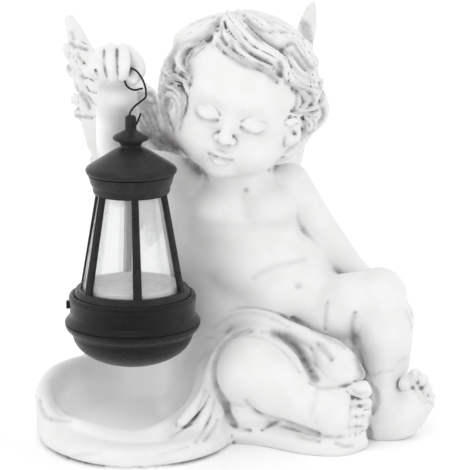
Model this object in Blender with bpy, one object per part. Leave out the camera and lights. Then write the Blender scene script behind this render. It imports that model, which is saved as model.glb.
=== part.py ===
"""Garden angel with a solar lantern: a cast cherub seated on draped cloth beside a shallow basin, one arm
raised, and a black plastic lantern with a clear glass that hangs from a wire hook in that hand.

The cherub is a free form. It is modelled as clay would be, by adding and cutting soft solids in a field of
distances, which is then meshed, thinned and cut flat underneath. The lantern is turned from profiles.
"""
import math

import bmesh
import bpy
import numpy as np
import openvdb
from mathutils import Vector

# Driving dimensions, in metres
FIGURE_HEIGHT = 0.315           # ground to the top of the hair and wings
WIRE_DIAMETER = 0.0015
WIRE_CLEARANCE = 0.0005         # round the wire where it runs through the hand and the knob
STRUT_COUNT = 6
STRUT_TURN = math.radians(6.0)  # the front strut stands this far to the right of the middle
STRUT_WIDTHS = (0.0066, 0.0051)  # at the foot and at the collar
STRUT_THICKNESS = 0.0032
GLASS_WALL = 0.0012
PLATE_THICKNESS = 0.0021
PLATE_RIM = (0.0018, 0.0008)    # how wide the plate's rim is, and how far it stands above the plate
SEAT = 0.0004                   # clearance where one piece of the lantern stands on another
SLIDE = 0.0005                  # clearance where one piece of the lantern stands inside another
HANG = 0.0022                   # between the top of the basin's rim and the lantern's underside

# The lantern hangs from the wire's lower loop and fills the drop to the basin. Its outline is drawn in rows,
# as (radius, height above its underside), and the hole in its knob sets how large a row is.
LANTERN_AXIS = (-100.0, -66.0)  # across and away from the figure's middle, in squares of its grid
BASIN_TOP = 71.3                # highest part of the basin's rim, in squares
WIRE_LOOP = (-100.0, 341.9, 72.5)  # square where the wire runs through the knob
DISC = 140.0                    # underside of the collar's disc, which the collar, the struts and the cap follow
HOLE_ROW = DISC + 40.5          # height of the knob's hole, in rows
BOWL_RADIUS, BOWL_DEPTH = 44.8, 24.8
BOWL_RIM = [(46.9, 26.0), (49.0, 28.2), (50.0, 30.6)]
SEAM_RADIUS = 50.2
BOWL_TOP = 32.5
BAND = [(49.2, 34.2), (47.3, 36.0), (46.4, 37.8), (46.4, 48.6), (47.0, 49.3), (47.0, 51.9), (46.2, 53.6),
        (44.0, 54.0)]
BASE_FLOOR = 52.5
LUG = ((-49.0, 45.2), (5.0, 5.6), 4.0)  # the switch lug's middle across and up, width and height, depth
RING_RADII = (43.2, 41.3)       # of the foot ring, below and above
RING_TOP = 58.5
GLASS_FOOT, GLASS_NECK = 37.1, 21.9
SKIRT = [(radius, DISC + rise) for radius, rise in (
    (24.7, -11.2), (26.1, -11.2), (27.7, -10.3), (28.2, -8.7), (28.2, -5.7), (29.5, -3.9), (30.5, -0.1))]
COLLAR_RIM = (30.8, DISC + 3.4)
STRUT_LINE = [(40.05, 53.5), (24.96, DISC - 6.0)]
CAP_SIDE = [(radius, DISC + rise) for radius, rise in (
    (32.0, 4.4), (33.5, 6.3), (33.5, 7.7), (30.6, 11.7), (22.9, 17.2), (15.3, 21.1), (8.6, 23.3), (7.4, 24.2),
    (9.1, 27.6), (11.0, 28.3), (13.0, 29.3), (13.4, 30.2), (13.0, 31.3), (11.7, 32.3), (4.2, 36.0), (4.2, 45.0),
    (3.5, 46.4), (1.9, 47.1))]
CAP_TOP = DISC + 47.2

# Colour, roughness and metallic value of each material
RESIN = ((0.80, 0.79, 0.78), 0.6, 0.0)
WIRE = ((0.010, 0.010, 0.011), 0.4, 0.6)
BLACK = ((0.013, 0.013, 0.014), 0.35, 0.0)
CLEAR = ((0.95, 0.96, 0.96), 0.05, 0.0)
PALE = ((0.65, 0.65, 0.64), 0.3, 0.0)

# Mesh fineness
ROUND_STEPS = 24
WIRE_STEPS = 6
FIGURE_CELL = 2.0               # in squares of the figure's grid
FIGURE_FACES = 5600
CHANNEL_STEPS = 8
BOWL_STEPS = 8
HAND_RUN = slice(6, 26)         # the wire's steps inside the hand
KNOB_RUN = slice(34, 50)        # and round the knob's hole

# The figure was squared up on a front elevation seen slightly from above. A place on it is given as squares
# across from the middle line, squares up the elevation, and squares forward of the figure's middle plane.
GRID_ROWS = 416
SQUARE = FIGURE_HEIGHT / GRID_ROWS
VIEW_TILT = math.radians(13.0)
VIEW_DISTANCE = 2250.0
EYE_LEVEL = 188.0
MID_UP = 232.0
COS_TILT = math.cos(VIEW_TILT)
SIN_TILT = math.sin(VIEW_TILT)
EYE = np.array([0.0, -VIEW_DISTANCE * COS_TILT, EYE_LEVEL + VIEW_DISTANCE * SIN_TILT])

FAR = 14.0                      # distances are only kept up to this many squares


def at(across, up, forward):
    """The place (x right, y away, z up, in squares) that lies forward of the middle plane at this square."""
    v = up - MID_UP
    w = v * (1 - forward * COS_TILT / VIEW_DISTANCE) + forward * SIN_TILT
    w /= COS_TILT + v * SIN_TILT / VIEW_DISTANCE
    t = VIEW_DISTANCE - forward * COS_TILT - w * SIN_TILT
    return np.array([across * t / VIEW_DISTANCE, -forward, w + EYE_LEVEL])


class Clay:
    """A block of distances to the nearest surface, under 0 inside."""

    def __init__(self, low, high, cell):
        self.low = np.array(low, float)
        self.cell = float(cell)
        self.shape = np.ceil((np.array(high) - self.low) / cell).astype(int) + 1
        self.field = np.full(self.shape, FAR, np.float32)

    def window(self, lo, hi):
        i0 = np.clip(np.floor((np.asarray(lo) - self.low) / self.cell).astype(int), 0, self.shape)
        i1 = np.clip(np.ceil((np.asarray(hi) - self.low) / self.cell).astype(int) + 1, 0, self.shape)
        if np.any(i1 <= i0):
            return None, None
        axes = [(self.low[k] + self.cell * np.arange(i0[k], i1[k])).astype(np.float32) for k in range(3)]
        grid = (axes[0][:, None, None], axes[1][None, :, None], axes[2][None, None, :])
        return tuple(slice(a, b) for a, b in zip(i0, i1)), grid

    def blend_in(self, where, d, k):
        a = self.field[where]
        if k > 0:
            h = np.maximum(k - np.abs(a - d), 0) / k
            self.field[where] = np.minimum(a, d) - h * h * k * 0.25
        else:
            self.field[where] = np.minimum(a, d)

    def carve(self, where, d, k):
        a = self.field[where]
        b = -d
        h = np.maximum(k - np.abs(a - b), 0) / max(k, 1e-6)
        self.field[where] = np.maximum(a, b) + h * h * k * 0.25


def box_of(points, reach):
    q = np.array(points, float)
    return q.min(axis=0) - reach, q.max(axis=0) + reach


def spline(points, count):
    """Evenly stepped Catmull-Rom curve through rows of numbers."""
    p = np.array(points, float)
    if len(p) < 3:
        t = np.linspace(0, 1, count)[:, None]
        return p[0] * (1 - t) + p[-1] * t
    ext = np.vstack([2 * p[0] - p[1], p, 2 * p[-1] - p[-2]])
    n = len(p) - 1
    s = np.linspace(0, n, count)
    i = np.minimum(s.astype(int), n - 1)
    t = (s - i)[:, None]
    a, b, c, d = ext[i], ext[i + 1], ext[i + 2], ext[i + 3]
    square, cube = 2 * a - 5 * b + 4 * c - d, 3 * b - a - 3 * c + d
    return 0.5 * (2 * b + (c - a) * t + square * t ** 2 + cube * t ** 3)


def ball(clay, c, r, blend=6, cut=False, turn=None):
    """Ellipsoid of radii r, optionally turned by a 3x3 matrix whose rows are its axes."""
    c = np.asarray(c, float)
    r = np.ones(3) * np.asarray(r, float)
    reach = max(r) + blend + 2 * clay.cell
    where, (x, y, z) = clay.window(c - reach, c + reach)
    if where is None:
        return
    dx, dy, dz = x - c[0], y - c[1], z - c[2]
    m = np.eye(3) if turn is None else np.asarray(turn, float)
    u = m[0, 0] * dx + m[0, 1] * dy + m[0, 2] * dz
    v = m[1, 0] * dx + m[1, 1] * dy + m[1, 2] * dz
    w = m[2, 0] * dx + m[2, 1] * dy + m[2, 2] * dz
    k0 = np.sqrt((u / r[0]) ** 2 + (v / r[1]) ** 2 + (w / r[2]) ** 2)
    k1 = np.sqrt((u / r[0] ** 2) ** 2 + (v / r[1] ** 2) ** 2 + (w / r[2] ** 2) ** 2)
    d = (k0 * (k0 - 1) / np.maximum(k1, 1e-6)).astype(np.float32)
    if cut:
        clay.carve(where, d, blend)
    else:
        clay.blend_in(where, d, blend)


def nearest(grid, line, extra):
    """Distance to a polyline, with the values in extra interpolated at the nearest place."""
    x, y, z = grid
    best = None
    vals = None
    for i in range(len(line) - 1):
        a, b = line[i], line[i + 1]
        ab = b - a
        l2 = max(float(ab @ ab), 1e-9)
        dx, dy, dz = x - a[0], y - a[1], z - a[2]
        t = np.clip((dx * ab[0] + dy * ab[1] + dz * ab[2]) / l2, 0, 1)
        qx, qy, qz = dx - t * ab[0], dy - t * ab[1], dz - t * ab[2]
        d2 = qx * qx + qy * qy + qz * qz
        e = [extra[i][k] * (1 - t) + extra[i + 1][k] * t for k in range(extra.shape[1])]
        if best is None:
            best, vals, off = d2, e, [qx, qy, qz]
        else:
            m = d2 < best
            best = np.where(m, d2, best)
            vals = [np.where(m, p, q) for p, q in zip(e, vals)]
            off = [np.where(m, p, q) for p, q in zip((qx, qy, qz), off)]
    return np.sqrt(best), vals, off


def limb(clay, points, radii, blend=6, steps=None, cut=False):
    """Round limb along a smooth line through points, its radius eased through radii."""
    n = steps or max(2, 1 + 4 * (len(points) - 1) if len(points) > 2 else 2)
    both = spline(np.hstack([np.array(points, float), np.array(radii, float)[:, None]]), n)
    line, rad = both[:, :3], both[:, 3:]
    reach = rad.max() + blend + 2 * clay.cell
    where, grid = clay.window(*box_of(line, reach))
    if where is None:
        return
    d, (r,), _ = nearest(grid, line, rad)
    d = (d - r).astype(np.float32)
    if cut:
        clay.carve(where, d, blend)
    else:
        clay.blend_in(where, d, blend)


def press(clay, points, width, depth, steps=None):
    """Soft groove (depth over 0) or ridge (under 0) along a line on the surface."""
    n = steps or max(2, 1 + 4 * (len(points) - 1) if len(points) > 2 else 2)
    line = spline(points, n) if len(points) > 1 else np.array([points[0], points[0]], float)
    where, grid = clay.window(*box_of(line, 2.2 * width))
    if where is None:
        return
    d, _, _ = nearest(grid, line, np.zeros((len(line), 1)))
    clay.field[where] += (depth * np.exp(-(d / width) ** 2)).astype(np.float32)


def band(clay, points, wide, thick, normals, blend=3, strands=0, groove=0.0, steps=None, cut=False,
         barbs=0.0, barb_depth=0.0):
    """Flattened lock, fold or feather: an oval section that keeps its flat side along normals."""
    p = np.array(points, float)
    m = len(p)
    w = np.ones(m) * wide if np.isscalar(wide) else np.array(wide, float)
    t = np.ones(m) * thick if np.isscalar(thick) else np.array(thick, float)
    nrm = np.array(normals, float)
    if nrm.ndim == 1:
        nrm = np.tile(nrm, (m, 1))
    n = steps or max(3, 1 + 4 * (m - 1))
    both = spline(np.hstack([p, w[:, None], t[:, None], nrm]), n)
    line, ww, tt, nn = both[:, :3], np.maximum(both[:, 3], 0.8), np.maximum(both[:, 4], 0.8), both[:, 5:8]
    tangent = np.gradient(line, axis=0)
    tangent /= np.linalg.norm(tangent, axis=1)[:, None] + 1e-9
    nn = nn - (nn * tangent).sum(axis=1)[:, None] * tangent
    nn /= np.linalg.norm(nn, axis=1)[:, None] + 1e-9
    side = np.cross(tangent, nn)
    run = np.concatenate([[0], np.cumsum(np.linalg.norm(np.diff(line, axis=0), axis=1))])
    extra = np.hstack([ww[:, None], tt[:, None], nn, side, run[:, None]])
    reach = max(ww.max(), tt.max()) + blend + 2 * clay.cell
    where, grid = clay.window(*box_of(line, reach))
    if where is None:
        return
    _, vals, off = nearest(grid, line, extra)
    a, b = vals[0], vals[1]
    v = off[0] * vals[2] + off[1] * vals[3] + off[2] * vals[4]
    u = off[0] * vals[5] + off[1] * vals[6] + off[2] * vals[7]
    d2 = off[0] ** 2 + off[1] ** 2 + off[2] ** 2
    e = np.sqrt(np.maximum(d2 - u * u - v * v, 0))
    k0 = np.sqrt((u / a) ** 2 + (v / b) ** 2 + (e / b) ** 2)
    k1 = np.sqrt((u / a ** 2) ** 2 + (v / b ** 2) ** 2 + (e / b ** 2) ** 2)
    d = k0 * (k0 - 1) / np.maximum(k1, 1e-6)
    if strands and groove:
        comb = 0.5 - 0.5 * np.cos(np.pi * strands * (u / a))
        d = d + groove * comb * np.clip(1.2 - np.abs(u / a) * 0.4, 0, 1)
    if barbs and barb_depth:
        phase = (vals[8] + np.abs(u) * 0.9) / barbs
        quill = np.exp(-(u / 1.6) ** 2)
        d = d + barb_depth * (0.5 - 0.5 * np.cos(2 * np.pi * phase)) * (1 - quill) - 0.6 * barb_depth * quill
    d = d.astype(np.float32)
    if cut:
        clay.carve(where, d, blend)
    else:
        clay.blend_in(where, d, blend)


# How the head is turned, bowed and leant, in degrees
YAW, PITCH, LEAN = 8.0, 5.0, 15.5


def head_axes():
    """The head's own right, up and forward."""
    y, p, t = (math.radians(a) for a in (YAW, PITCH, LEAN))
    r = np.array([math.cos(y), -math.sin(y), 0.0])
    f = np.array([-math.sin(y), -math.cos(y), 0.0])
    u = np.array([0.0, 0.0, 1.0])
    f, u = f * math.cos(p) - u * math.sin(p), u * math.cos(p) + f * math.sin(p)
    r, u = r * math.cos(t) - u * math.sin(t), u * math.cos(t) + r * math.sin(t)
    return r, u, f


HEAD = at(5, 367, 25)
HR, HU, HF = head_axes()
HTURN = np.array([HR, HU, HF])
CAP = np.array([71.0, 69.0, 71.0])      # radii of the hair's base
CAPC = np.array([-1.5, 6.0, -9.0])


def hd(r, u, f):
    """A place given along the head's own axes."""
    return HEAD + r * HR + u * HU + f * HF


def shell(az, el, lift=0.0):
    """Point and outward direction on the hair: az 0 in front and + to the right, el 90 at the crown."""
    a, e = math.radians(az), math.radians(el)
    d = np.array([math.sin(a) * math.cos(e), math.sin(e), math.cos(a) * math.cos(e)])
    q = CAPC + CAP * d + d * lift
    n = d / CAP
    n /= np.linalg.norm(n)
    return hd(*q), n @ HTURN


def sight(across, up, lift=0.0):
    """Where the line of sight through a square meets the front of the hair's base, and its outward normal."""
    far = at(across, up, 0)
    o = HTURN @ (EYE - HEAD) - CAPC
    d = HTURN @ (far - EYE)
    o, d = o / CAP, d / CAP
    a, b, c = d @ d, 2 * (o @ d), o @ o - 1
    disc = b * b - 4 * a * c
    t = (-b - math.sqrt(disc)) / (2 * a) if disc > 0 else -b / (2 * a)
    q = o + t * d
    q /= np.linalg.norm(q)
    n = q / CAP
    n /= np.linalg.norm(n)
    return hd(*(CAPC + q * CAP + n * lift)), n @ HTURN


def torso(clay):
    ball(clay, at(8, 255, -2), (60, 42, 44), 10)
    ball(clay, at(27, 207, 4), (58, 44, 42), 14)
    ball(clay, at(53, 177, 10), (52, 42, 34), 12)
    ball(clay, at(20, 157, -12), (72, 46, 50), 14)
    limb(clay, [at(-35, 275, -6), at(50, 279, -2)], [22, 21], 12)
    limb(clay, [hd(0, -45, 0), at(8, 277, 0)], [34, 34], 10)
    ball(clay, at(-23, 212, -18), (38, 34, 58), 14)
    ball(clay, at(77, 205, -10), (26, 28, 40), 12)
    ball(clay, at(93, 132, 4), (30, 30, 26), 12)
    ball(clay, at(-19, 259, 26), (24, 18, 18), 12)
    ball(clay, at(35, 259, 26), (24, 18, 18), 12)


def skin_marks(clay):
    press(clay, [at(-30, 245, 34), at(-9, 236, 40), at(15, 237, 41), at(40, 239, 40)], 5, 2.2)
    press(clay, [at(8, 271, 38), at(9, 253, 42)], 6, 1.2)
    press(clay, [at(15, 188, 46), at(33, 197, 47), at(53, 202, 44), at(69, 205, 38)], 3.2, 3.2)
    press(clay, [at(11, 277, 40)], 2.3, 3.5)
    press(clay, [at(64, 182, 52)], 2.3, 4.5)
    press(clay, [at(64, 182, 52)], 7, 1.5)
    for k in range(3):
        press(clay, [at(13 + 7 * k, 227 - 5 * k, 46), at(27 + 6 * k, 219 - 4 * k, 46)], 3, 0.9)
    # spine and shoulder blades
    press(clay, [at(5, 282, -46), at(13, 237, -46), at(23, 192, -48)], 6, 4)


def arms(clay):
    # his left, resting along the thigh
    limb(clay, [at(55, 283, 0), at(79, 251, 4), at(102, 219, 0), at(125, 190, -4), at(159, 165, 5)],
         [21, 16, 14.5, 14, 12], 6)
    limb(clay, [at(159, 165, 5), at(170, 155, 22), at(174, 143, 34)], [11, 8, 5], 5)
    # his right, lifting the lantern
    limb(clay, [at(-35, 279, -8), at(-73, 294, -30), at(-111, 297, -44)], [24, 22, 21], 10)
    limb(clay, [at(-113, 295, -44), at(-117, 317, -18), at(-118, 343, 12), at(-118, 373, 42)],
         [21, 21, 20.5, 19.5], 8)


# fingers of the raised hand: knuckle, middle joint and tip as (across, up), and half width
FINGERS = [((-140, 408), (-143, 399), (-140, 391), 5), ((-134, 414), (-136.5, 400), (-132, 390), 5.6),
           ((-124, 417), (-124.5, 402), (-122.5, 389.5), 6), ((-112, 416), (-111, 402), (-112.5, 391.5), 6.2)]


def fist(clay):
    ball(clay, at(-122, 403, 50), (20, 18, 19), 6)
    for knuckle, joint, tip, r in FINGERS:
        limb(clay, [at(*knuckle, 60), at(*joint, 75), at(*tip, 72)], [r + 1, r, r * 0.88], 0.8)
    thumb = [at(-109, 411, 44), at(-100, 406, 52), at(-96, 396, 60), at(-102, 387, 66)]
    limb(clay, thumb, [11, 8, 6.5, 5.5], 4)


def legs(clay):
    # his left, knee raised
    limb(clay, [at(73, 145, 0), at(107, 161, 32), at(141, 171, 38)], [36, 32, 26], 8)
    limb(clay, [at(145, 173, 40), at(151, 132, 46), at(151, 107, 46)], [26, 26.5, 22], 6)
    limb(clay, [at(151, 107, 46), at(149, 77, 58), at(153, 55, 66)], [22, 19, 20], 6)
    limb(clay, [at(147, 43, 66), at(166, 51, 70), at(179, 65, 72)], [22, 22, 19], 8)
    ball(clay, at(117, 109, 26), (26, 22, 32), 8)
    press(clay, [at(137, 89, 72), at(149, 91, 76), at(162, 105, 70)], 3, 2.5)
    for across, up, r in ((180, 91, 7.5), (188, 87, 5.8), (192, 79, 5.5), (195, 71, 5), (195, 63, 4.5)):
        limb(clay, [at(across - 9, up - 8, 74), at(across, up, 78)], [r, r], 1.5)


def front_leg(clay):
    # his right, crossed in front
    limb(clay, [at(37, 137, 10), at(19, 99, 70)], [36, 35], 6)
    limb(clay, [at(17, 94, 78), at(53, 77, 88), at(87, 60, 94)], [36, 33, 27], 8)
    ball(clay, at(17, 57, 84), (23, 20, 20), 3)
    limb(clay, [at(83, 60, 92), at(103, 54, 96), at(111, 54, 94)], [27, 28, 25], 8)
    ball(clay, at(115, 56, 86), (13, 14, 29), 6)
    limb(clay, [at(-13, 114, 92), at(-20, 95, 96), at(-17, 75, 102), at(-9, 56, 108), at(1, 39, 110)],
         [2, 3.4, 4, 4, 2.5], 3, cut=True)
    press(clay, [at(85, 77, 118), at(79, 62, 124), at(81, 45, 118)], 3, 1.6)
    press(clay, [at(12, 67, 112), at(27, 53, 110), at(57, 42, 112)], 2.6, 3.5)
    for across, up, r in ((127, 77.5, 9), (129, 64, 6.6), (128.5, 53, 6), (127, 42.5, 5.7),
                          (124.5, 32.5, 5.4)):
        toe = [at(across - 14, up - 1, 97), at(across - 6, up, 104), at(across + 1.5, up, 107)]
        limb(clay, toe, [r * 0.85, r * 0.8, r], 0.5)
        nail = up + r * 0.35
        press(clay, [at(across + 2.5, nail, 108 + r), at(across + 5, nail, 106 + r)], 2.2, 1.4)


RIM = [(-165, 100, -2, 8), (-189, 81, 28, 8), (-189, 63, 56, 9), (-177, 44, 88, 9), (-155, 37, 108, 9),
       (-123, 29, 122, 8), (-90, 29, 122, 8), (-63, 40, 108, 9), (-42, 59, 88, 9), (-30, 79, 66, 9),
       (-22, 105, 42, 9), (-29, 125, 8, 10), (-49, 135, -20, 9), (-85, 131, -34, 9), (-123, 123, -34, 8),
       (-149, 111, -22, 8)]
FOOT = [(-157, 62, 14), (-173, 52, 45), (-179, 37, 78), (-171, 20, 110), (-151, 12, 138),
        (-123, 8, 156), (-85, 9, 155), (-55, 13, 144), (-31, 19, 122), (-15, 35, 88),
        (-10, 52, 50), (-20, 67, 15), (-45, 87, -20), (-85, 89, -36), (-123, 82, -36), (-143, 72, -16)]


def basin(clay):
    rim = [at(a, b, f) for a, b, f, _ in RIM]
    rad = [r for *_, r in RIM]
    foot = [at(*q) for q in FOOT]
    foot = [np.array([q[0], q[1], 7.0]) for q in foot]
    line = spline(np.hstack([np.array(rim + rim[:3]), np.array(rad + rad[:3])[:, None]]), 181)
    base = spline(np.array(foot + foot[:3]), 181)
    for i in range(0, 162):
        a, b, r = line[i, :3], base[i], line[i, 3]
        limb(clay, [a, b], [r * 0.85, 8], 0.6)
    limb(clay, line[::2, :3], line[::2, 3], 3, steps=91)
    mid = np.mean(foot, axis=0)
    ball(clay, (mid[0], mid[1], 2), (80, 92, 10), 34)
    press(clay, [at(-198, 67, 50), at(-194, 52, 66), at(-187, 45, 86), at(-161, 44, 106)], 3, 3.0)
    ball(clay, at(-163, 27, 106), (20, 18, 12), 10)


def cloth(clay):
    ball(clay, (40, -26, 12), (112, 74, 32), 12)
    ball(clay, (34, 8, 40), (92, 72, 62), 16)
    ball(clay, (40, 10, 8), (112, 84, 22), 14)
    for k in range(10):
        turn = math.radians(-20 + 24 * k)
        bend = math.radians(11 * math.sin(k * 2.3))
        high = (34 + 60 * math.cos(turn), 10 + 44 * math.sin(turn), 84 + 8 * math.sin(k * 1.7))
        half = (38 + 92 * math.cos(turn + bend), 8 + 70 * math.sin(turn + bend), 44)
        low = (42 + 108 * math.cos(turn + 1.6 * bend), 8 + 84 * math.sin(turn + 1.6 * bend), 4)
        limb(clay, [high, half, low], [5, 11 + 3 * math.sin(k), 12], 16)
    limb(clay, [at(1, 122, 10), at(50, 115, 42), at(90, 99, 60)], [30, 27, 20], 8)
    hem = [at(-45, 123, -5), at(-23, 137, 18), at(3, 149, 34), at(29, 149, 46), at(61, 135, 58),
           at(93, 121, 70), at(112, 108, 80), at(122, 93, 90)]
    limb(clay, hem, [9, 8, 7, 7, 8, 9, 9, 8], 4)
    limb(clay, [at(95, 111, 72), at(103, 95, 84), at(111, 87, 92)], [16, 15, 10], 5)
    knee = [at(-27, 75, 78), at(-20, 105, 70), at(-6, 126, 66), at(15, 134, 64), at(36, 131, 66),
            at(55, 114, 74), at(70, 91, 88), at(87, 77, 98)]
    limb(clay, knee, [8, 7, 6, 5.5, 5.5, 6, 6, 5], 3)
    limb(clay, [at(-25, 99, 52), at(-25, 67, 76), at(-31, 27, 108)], [14, 16, 14], 8)
    for a, b, e in (((-29, 82), (-37, 65), (-53, 45)), ((-21, 75), (-28, 55), (-43, 31)),
                    ((-16, 67), (-19, 47), (-31, 25))):
        limb(clay, [at(*a, 80), at(*b, 100), at(*e, 120)], [5, 6, 5], 3)
    limb(clay, [at(-31, 21, 116), at(-13, 32, 90), at(5, 35, 82), at(40, 29, 100), at(73, 21, 120),
             at(105, 18, 124), at(125, 25, 108)], [11, 9, 10, 11, 10, 9, 8], 8)
    limb(clay, [at(5, 42, 70), at(95, 37, 80)], [22, 22], 8)
    fold = [at(45, 129, 72), at(62, 115, 80), at(74, 99, 90), at(83, 84, 102)]
    limb(clay, fold, [2.5, 5, 6, 3.5], 3, cut=True)
    press(clay, [at(83, 122, 82), at(95, 109, 90)], 4, 4)
    press(clay, [at(-13, 144, 38), at(13, 151, 46), at(37, 146, 54)], 3, 2)


def lock(clay, path, wide, thick, strands=2, groove=1.6, lift=3.0, blend=2.0):
    """A lock of hair laid over the head along grid squares."""
    pts, nrm = zip(*[sight(col, row, lift) for col, row in path])
    n = len(path)
    taper = [wide * (0.45 + 0.55 * math.sin(math.pi * min(1, (i + 0.6) / n * 1.15))) for i in range(n)]
    band(clay, pts, taper, [thick] * (n - 1) + [thick * 0.6], nrm, blend, strands, groove, steps=3 * n + 3)


FRONT_LOCKS = [
    # along the brow, from the parting to the temple
    ([(-16, 449), (-20, 435), (-13, 419), (8, 405), (28, 396), (45, 386)], 6, 6, 2),
    ([(-12, 449), (-11, 431), (1, 416), (18, 404), (33, 399)], 6, 7, 2),
    ([(-7, 452), (3, 435), (19, 418), (36, 408), (46, 399), (47, 387)], 11, 9, 3),
    ([(3, 454), (21, 439), (37, 425), (53, 415), (65, 401), (79, 395)], 9, 9, 3),
    ([(13, 456), (37, 445), (57, 429), (65, 413), (77, 403), (83, 401)], 10, 9, 3),
    ([(27, 455), (53, 443), (71, 425), (81, 411)], 9, 8, 2),
    ([(49, 411), (56, 397), (67, 388), (81, 386), (87, 377)], 7, 8, 2),
    ([(47, 401), (53, 387), (65, 378), (78, 374), (79, 364), (68, 358), (56, 354)], 6, 7, 2),
    ([(65, 375), (69, 366), (65, 359)], 4, 6, 1),
    ([(79, 383), (88, 374), (86, 363), (77, 357)], 5.5, 7, 2),
    ([(58, 354), (71, 355), (83, 353), (89, 345), (83, 334)], 6, 7, 2),
    ([(85, 363), (92, 351), (86, 337), (73, 325)], 6, 7, 2),
    ([(69, 349), (74, 339), (71, 327), (61, 317), (51, 310)], 6, 7, 2),
    ([(79, 335), (71, 321), (61, 312)], 6, 7, 2),
    # his right side, waves down to the ear
    ([(-16, 450), (-33, 448), (-51, 440), (-61, 427), (-64, 417)], 9, 8, 3),
    ([(-17, 443), (-33, 436), (-47, 429), (-55, 419), (-57, 407)], 7, 7, 2),
    ([(-19, 433), (-31, 425), (-45, 419), (-51, 409), (-51, 399), (-44, 392)], 6, 7, 2),
    ([(-29, 422), (-40, 413), (-45, 405)], 4, 5, 1),
    ([(-59, 421), (-66, 409), (-68, 397), (-59, 390), (-48, 385), (-46, 373)], 6, 7, 2),
    ([(-67, 407), (-72, 393), (-67, 383), (-55, 378), (-48, 369), (-49, 359)], 6, 7, 2),
    ([(-71, 409), (-75, 393), (-75, 375), (-79, 359), (-78, 343), (-71, 329)], 7, 8, 2),
    ([(-63, 383), (-71, 369), (-73, 353), (-68, 337), (-63, 325)], 5.5, 7, 2),
]


def hair(clay):
    ball(clay, hd(*CAPC), tuple(CAP), 3, turn=HTURN)
    ball(clay, hd(CAPC[0], CAPC[1] - 20, CAPC[2] - 6), (CAP[0] - 2, CAP[1] - 6, CAP[2] - 4), 6, turn=HTURN)
    # waves from the crown down the back
    for k in range(15):
        az = 84 + k * 192.0 / 14
        pts, nrm = [], []
        for j in range(7):
            el = 78 - j * 18.5
            wave = 6.0 * math.sin(j * 1.9 + k * 2.1) * min(1, j / 1.5)
            q, n = shell(az + wave, el, 0.5 + 1.5 * math.sin(j * 1.3 + k))
            pts.append(q)
            nrm.append(n)
        band(clay, pts, [5, 9, 12, 13, 12.5, 11, 6], [6, 7, 8, 8, 8, 8, 6], nrm, 1.6, 3, 1.7, steps=22)
    # curls at the nape, each turning out at its end
    for k in range(10):
        az = 96 + k * 18.6
        pts, nrm = [], []
        for j in range(5):
            q, n = shell(az + 10 * math.sin(j * 1.5 + k) * j / 4, -4 - j * 11, 5 + (3 if j == 4 else 0))
            pts.append(q)
            nrm.append(n)
        band(clay, pts, [5, 9, 10, 9, 5], [5, 7, 7.5, 7, 5], nrm, 1.5, 2, 1.6, steps=16)
    for path, wide, thick, strands in FRONT_LOCKS:
        lock(clay, path, wide, thick, strands)


def face(clay):
    ball(clay, hd(0, 8, -4), (64, 64, 71), 4, turn=HTURN)
    for s in (-1, 1):
        ball(clay, hd(25 * s, -34, 32), (25, 23, 25), 12, turn=HTURN)
    ball(clay, hd(0, -40, 26), (44, 28, 30), 10, turn=HTURN)
    ball(clay, hd(0, -57, 44), (13, 10, 12), 10, turn=HTURN)
    ball(clay, hd(0, -37, 47), (17, 14, 16), 8, turn=HTURN)
    for s in (-1, 1):
        press(clay, [hd(14 * s, -2, 66), hd(24 * s, -4, 66), hd(34 * s, -4, 60)], 9, 4.5)
        ball(clay, hd(23.5 * s, -5, 50), (12, 9.5, 12.5), 3, turn=HTURN)
        lid = [hd(35 * s, -7, 57), hd(29 * s, -10.5, 60), hd(23 * s, -12, 61.5), hd(17 * s, -11, 61),
               hd(12 * s, -8, 60)]
        press(clay, lid, 1.6, 2.4)
        crease = [hd(35 * s, -2, 57), hd(28 * s, 3.5, 61), hd(21 * s, 4, 62), hd(12.5 * s, -2, 61)]
        press(clay, crease, 2.0, 2.0)
    limb(clay, [hd(0, 2, 63), hd(0, -10, 66), hd(0, -21, 71)], [5, 5, 6.5], 5)
    for s in (-1, 1):
        ball(clay, hd(6.8 * s, -23, 65), (4.6, 4.4, 5), 2.5, turn=HTURN)
        press(clay, [hd(3.6 * s, -27.5, 70)], 2.0, 3)
    press(clay, [hd(0, -30, 67), hd(0, -35, 66)], 2.2, 1.5)
    limb(clay, [hd(-11, -41, 58), hd(-5, -38.5, 62.5), hd(0, -39.5, 63), hd(5, -38.5, 62.5), hd(11, -41, 58)],
         [2, 3.2, 3.2, 3.2, 2], 2)
    limb(clay, [hd(-8, -44.5, 58), hd(0, -46.5, 61.5), hd(8, -44.5, 58)], [2.5, 3.8, 2.5], 2)
    mouth = [hd(-12.5, -41.5, 60), hd(-5, -42.3, 65), hd(0, -43, 65.5), hd(5, -42.3, 65), hd(12.5, -41.5, 60)]
    press(clay, mouth, 1.5, 2.6)
    press(clay, [hd(-5, -51.5, 60), hd(5, -51.5, 60)], 3, 1.6)


# rim of each ear and the middle of its hollow, as (across, up)
EARS = [([(-65, 364), (-63, 372), (-56, 372), (-51, 364), (-51, 355), (-55, 345), (-56, 336)], (-58, 357)),
        ([(52, 346), (60, 349), (67, 342), (66, 331), (59, 320), (51, 313)], (57, 334))]


def ears(clay):
    for path, hollow in EARS:
        pts = [sight(a, b, 4)[0] for a, b in path]
        q, n = sight(hollow[0], hollow[1], 0)
        ball(clay, q, (9, 9, 16), 3)
        limb(clay, pts, [3.4] * (len(pts) - 2) + [4.4, 5], 1.5)
        foot, top = sight(hollow[0], hollow[1] - 6, 4)[0], sight(hollow[0] - 1, hollow[1] + 5, 4)[0]
        press(clay, [foot, top], 3.6, 5)


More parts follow.
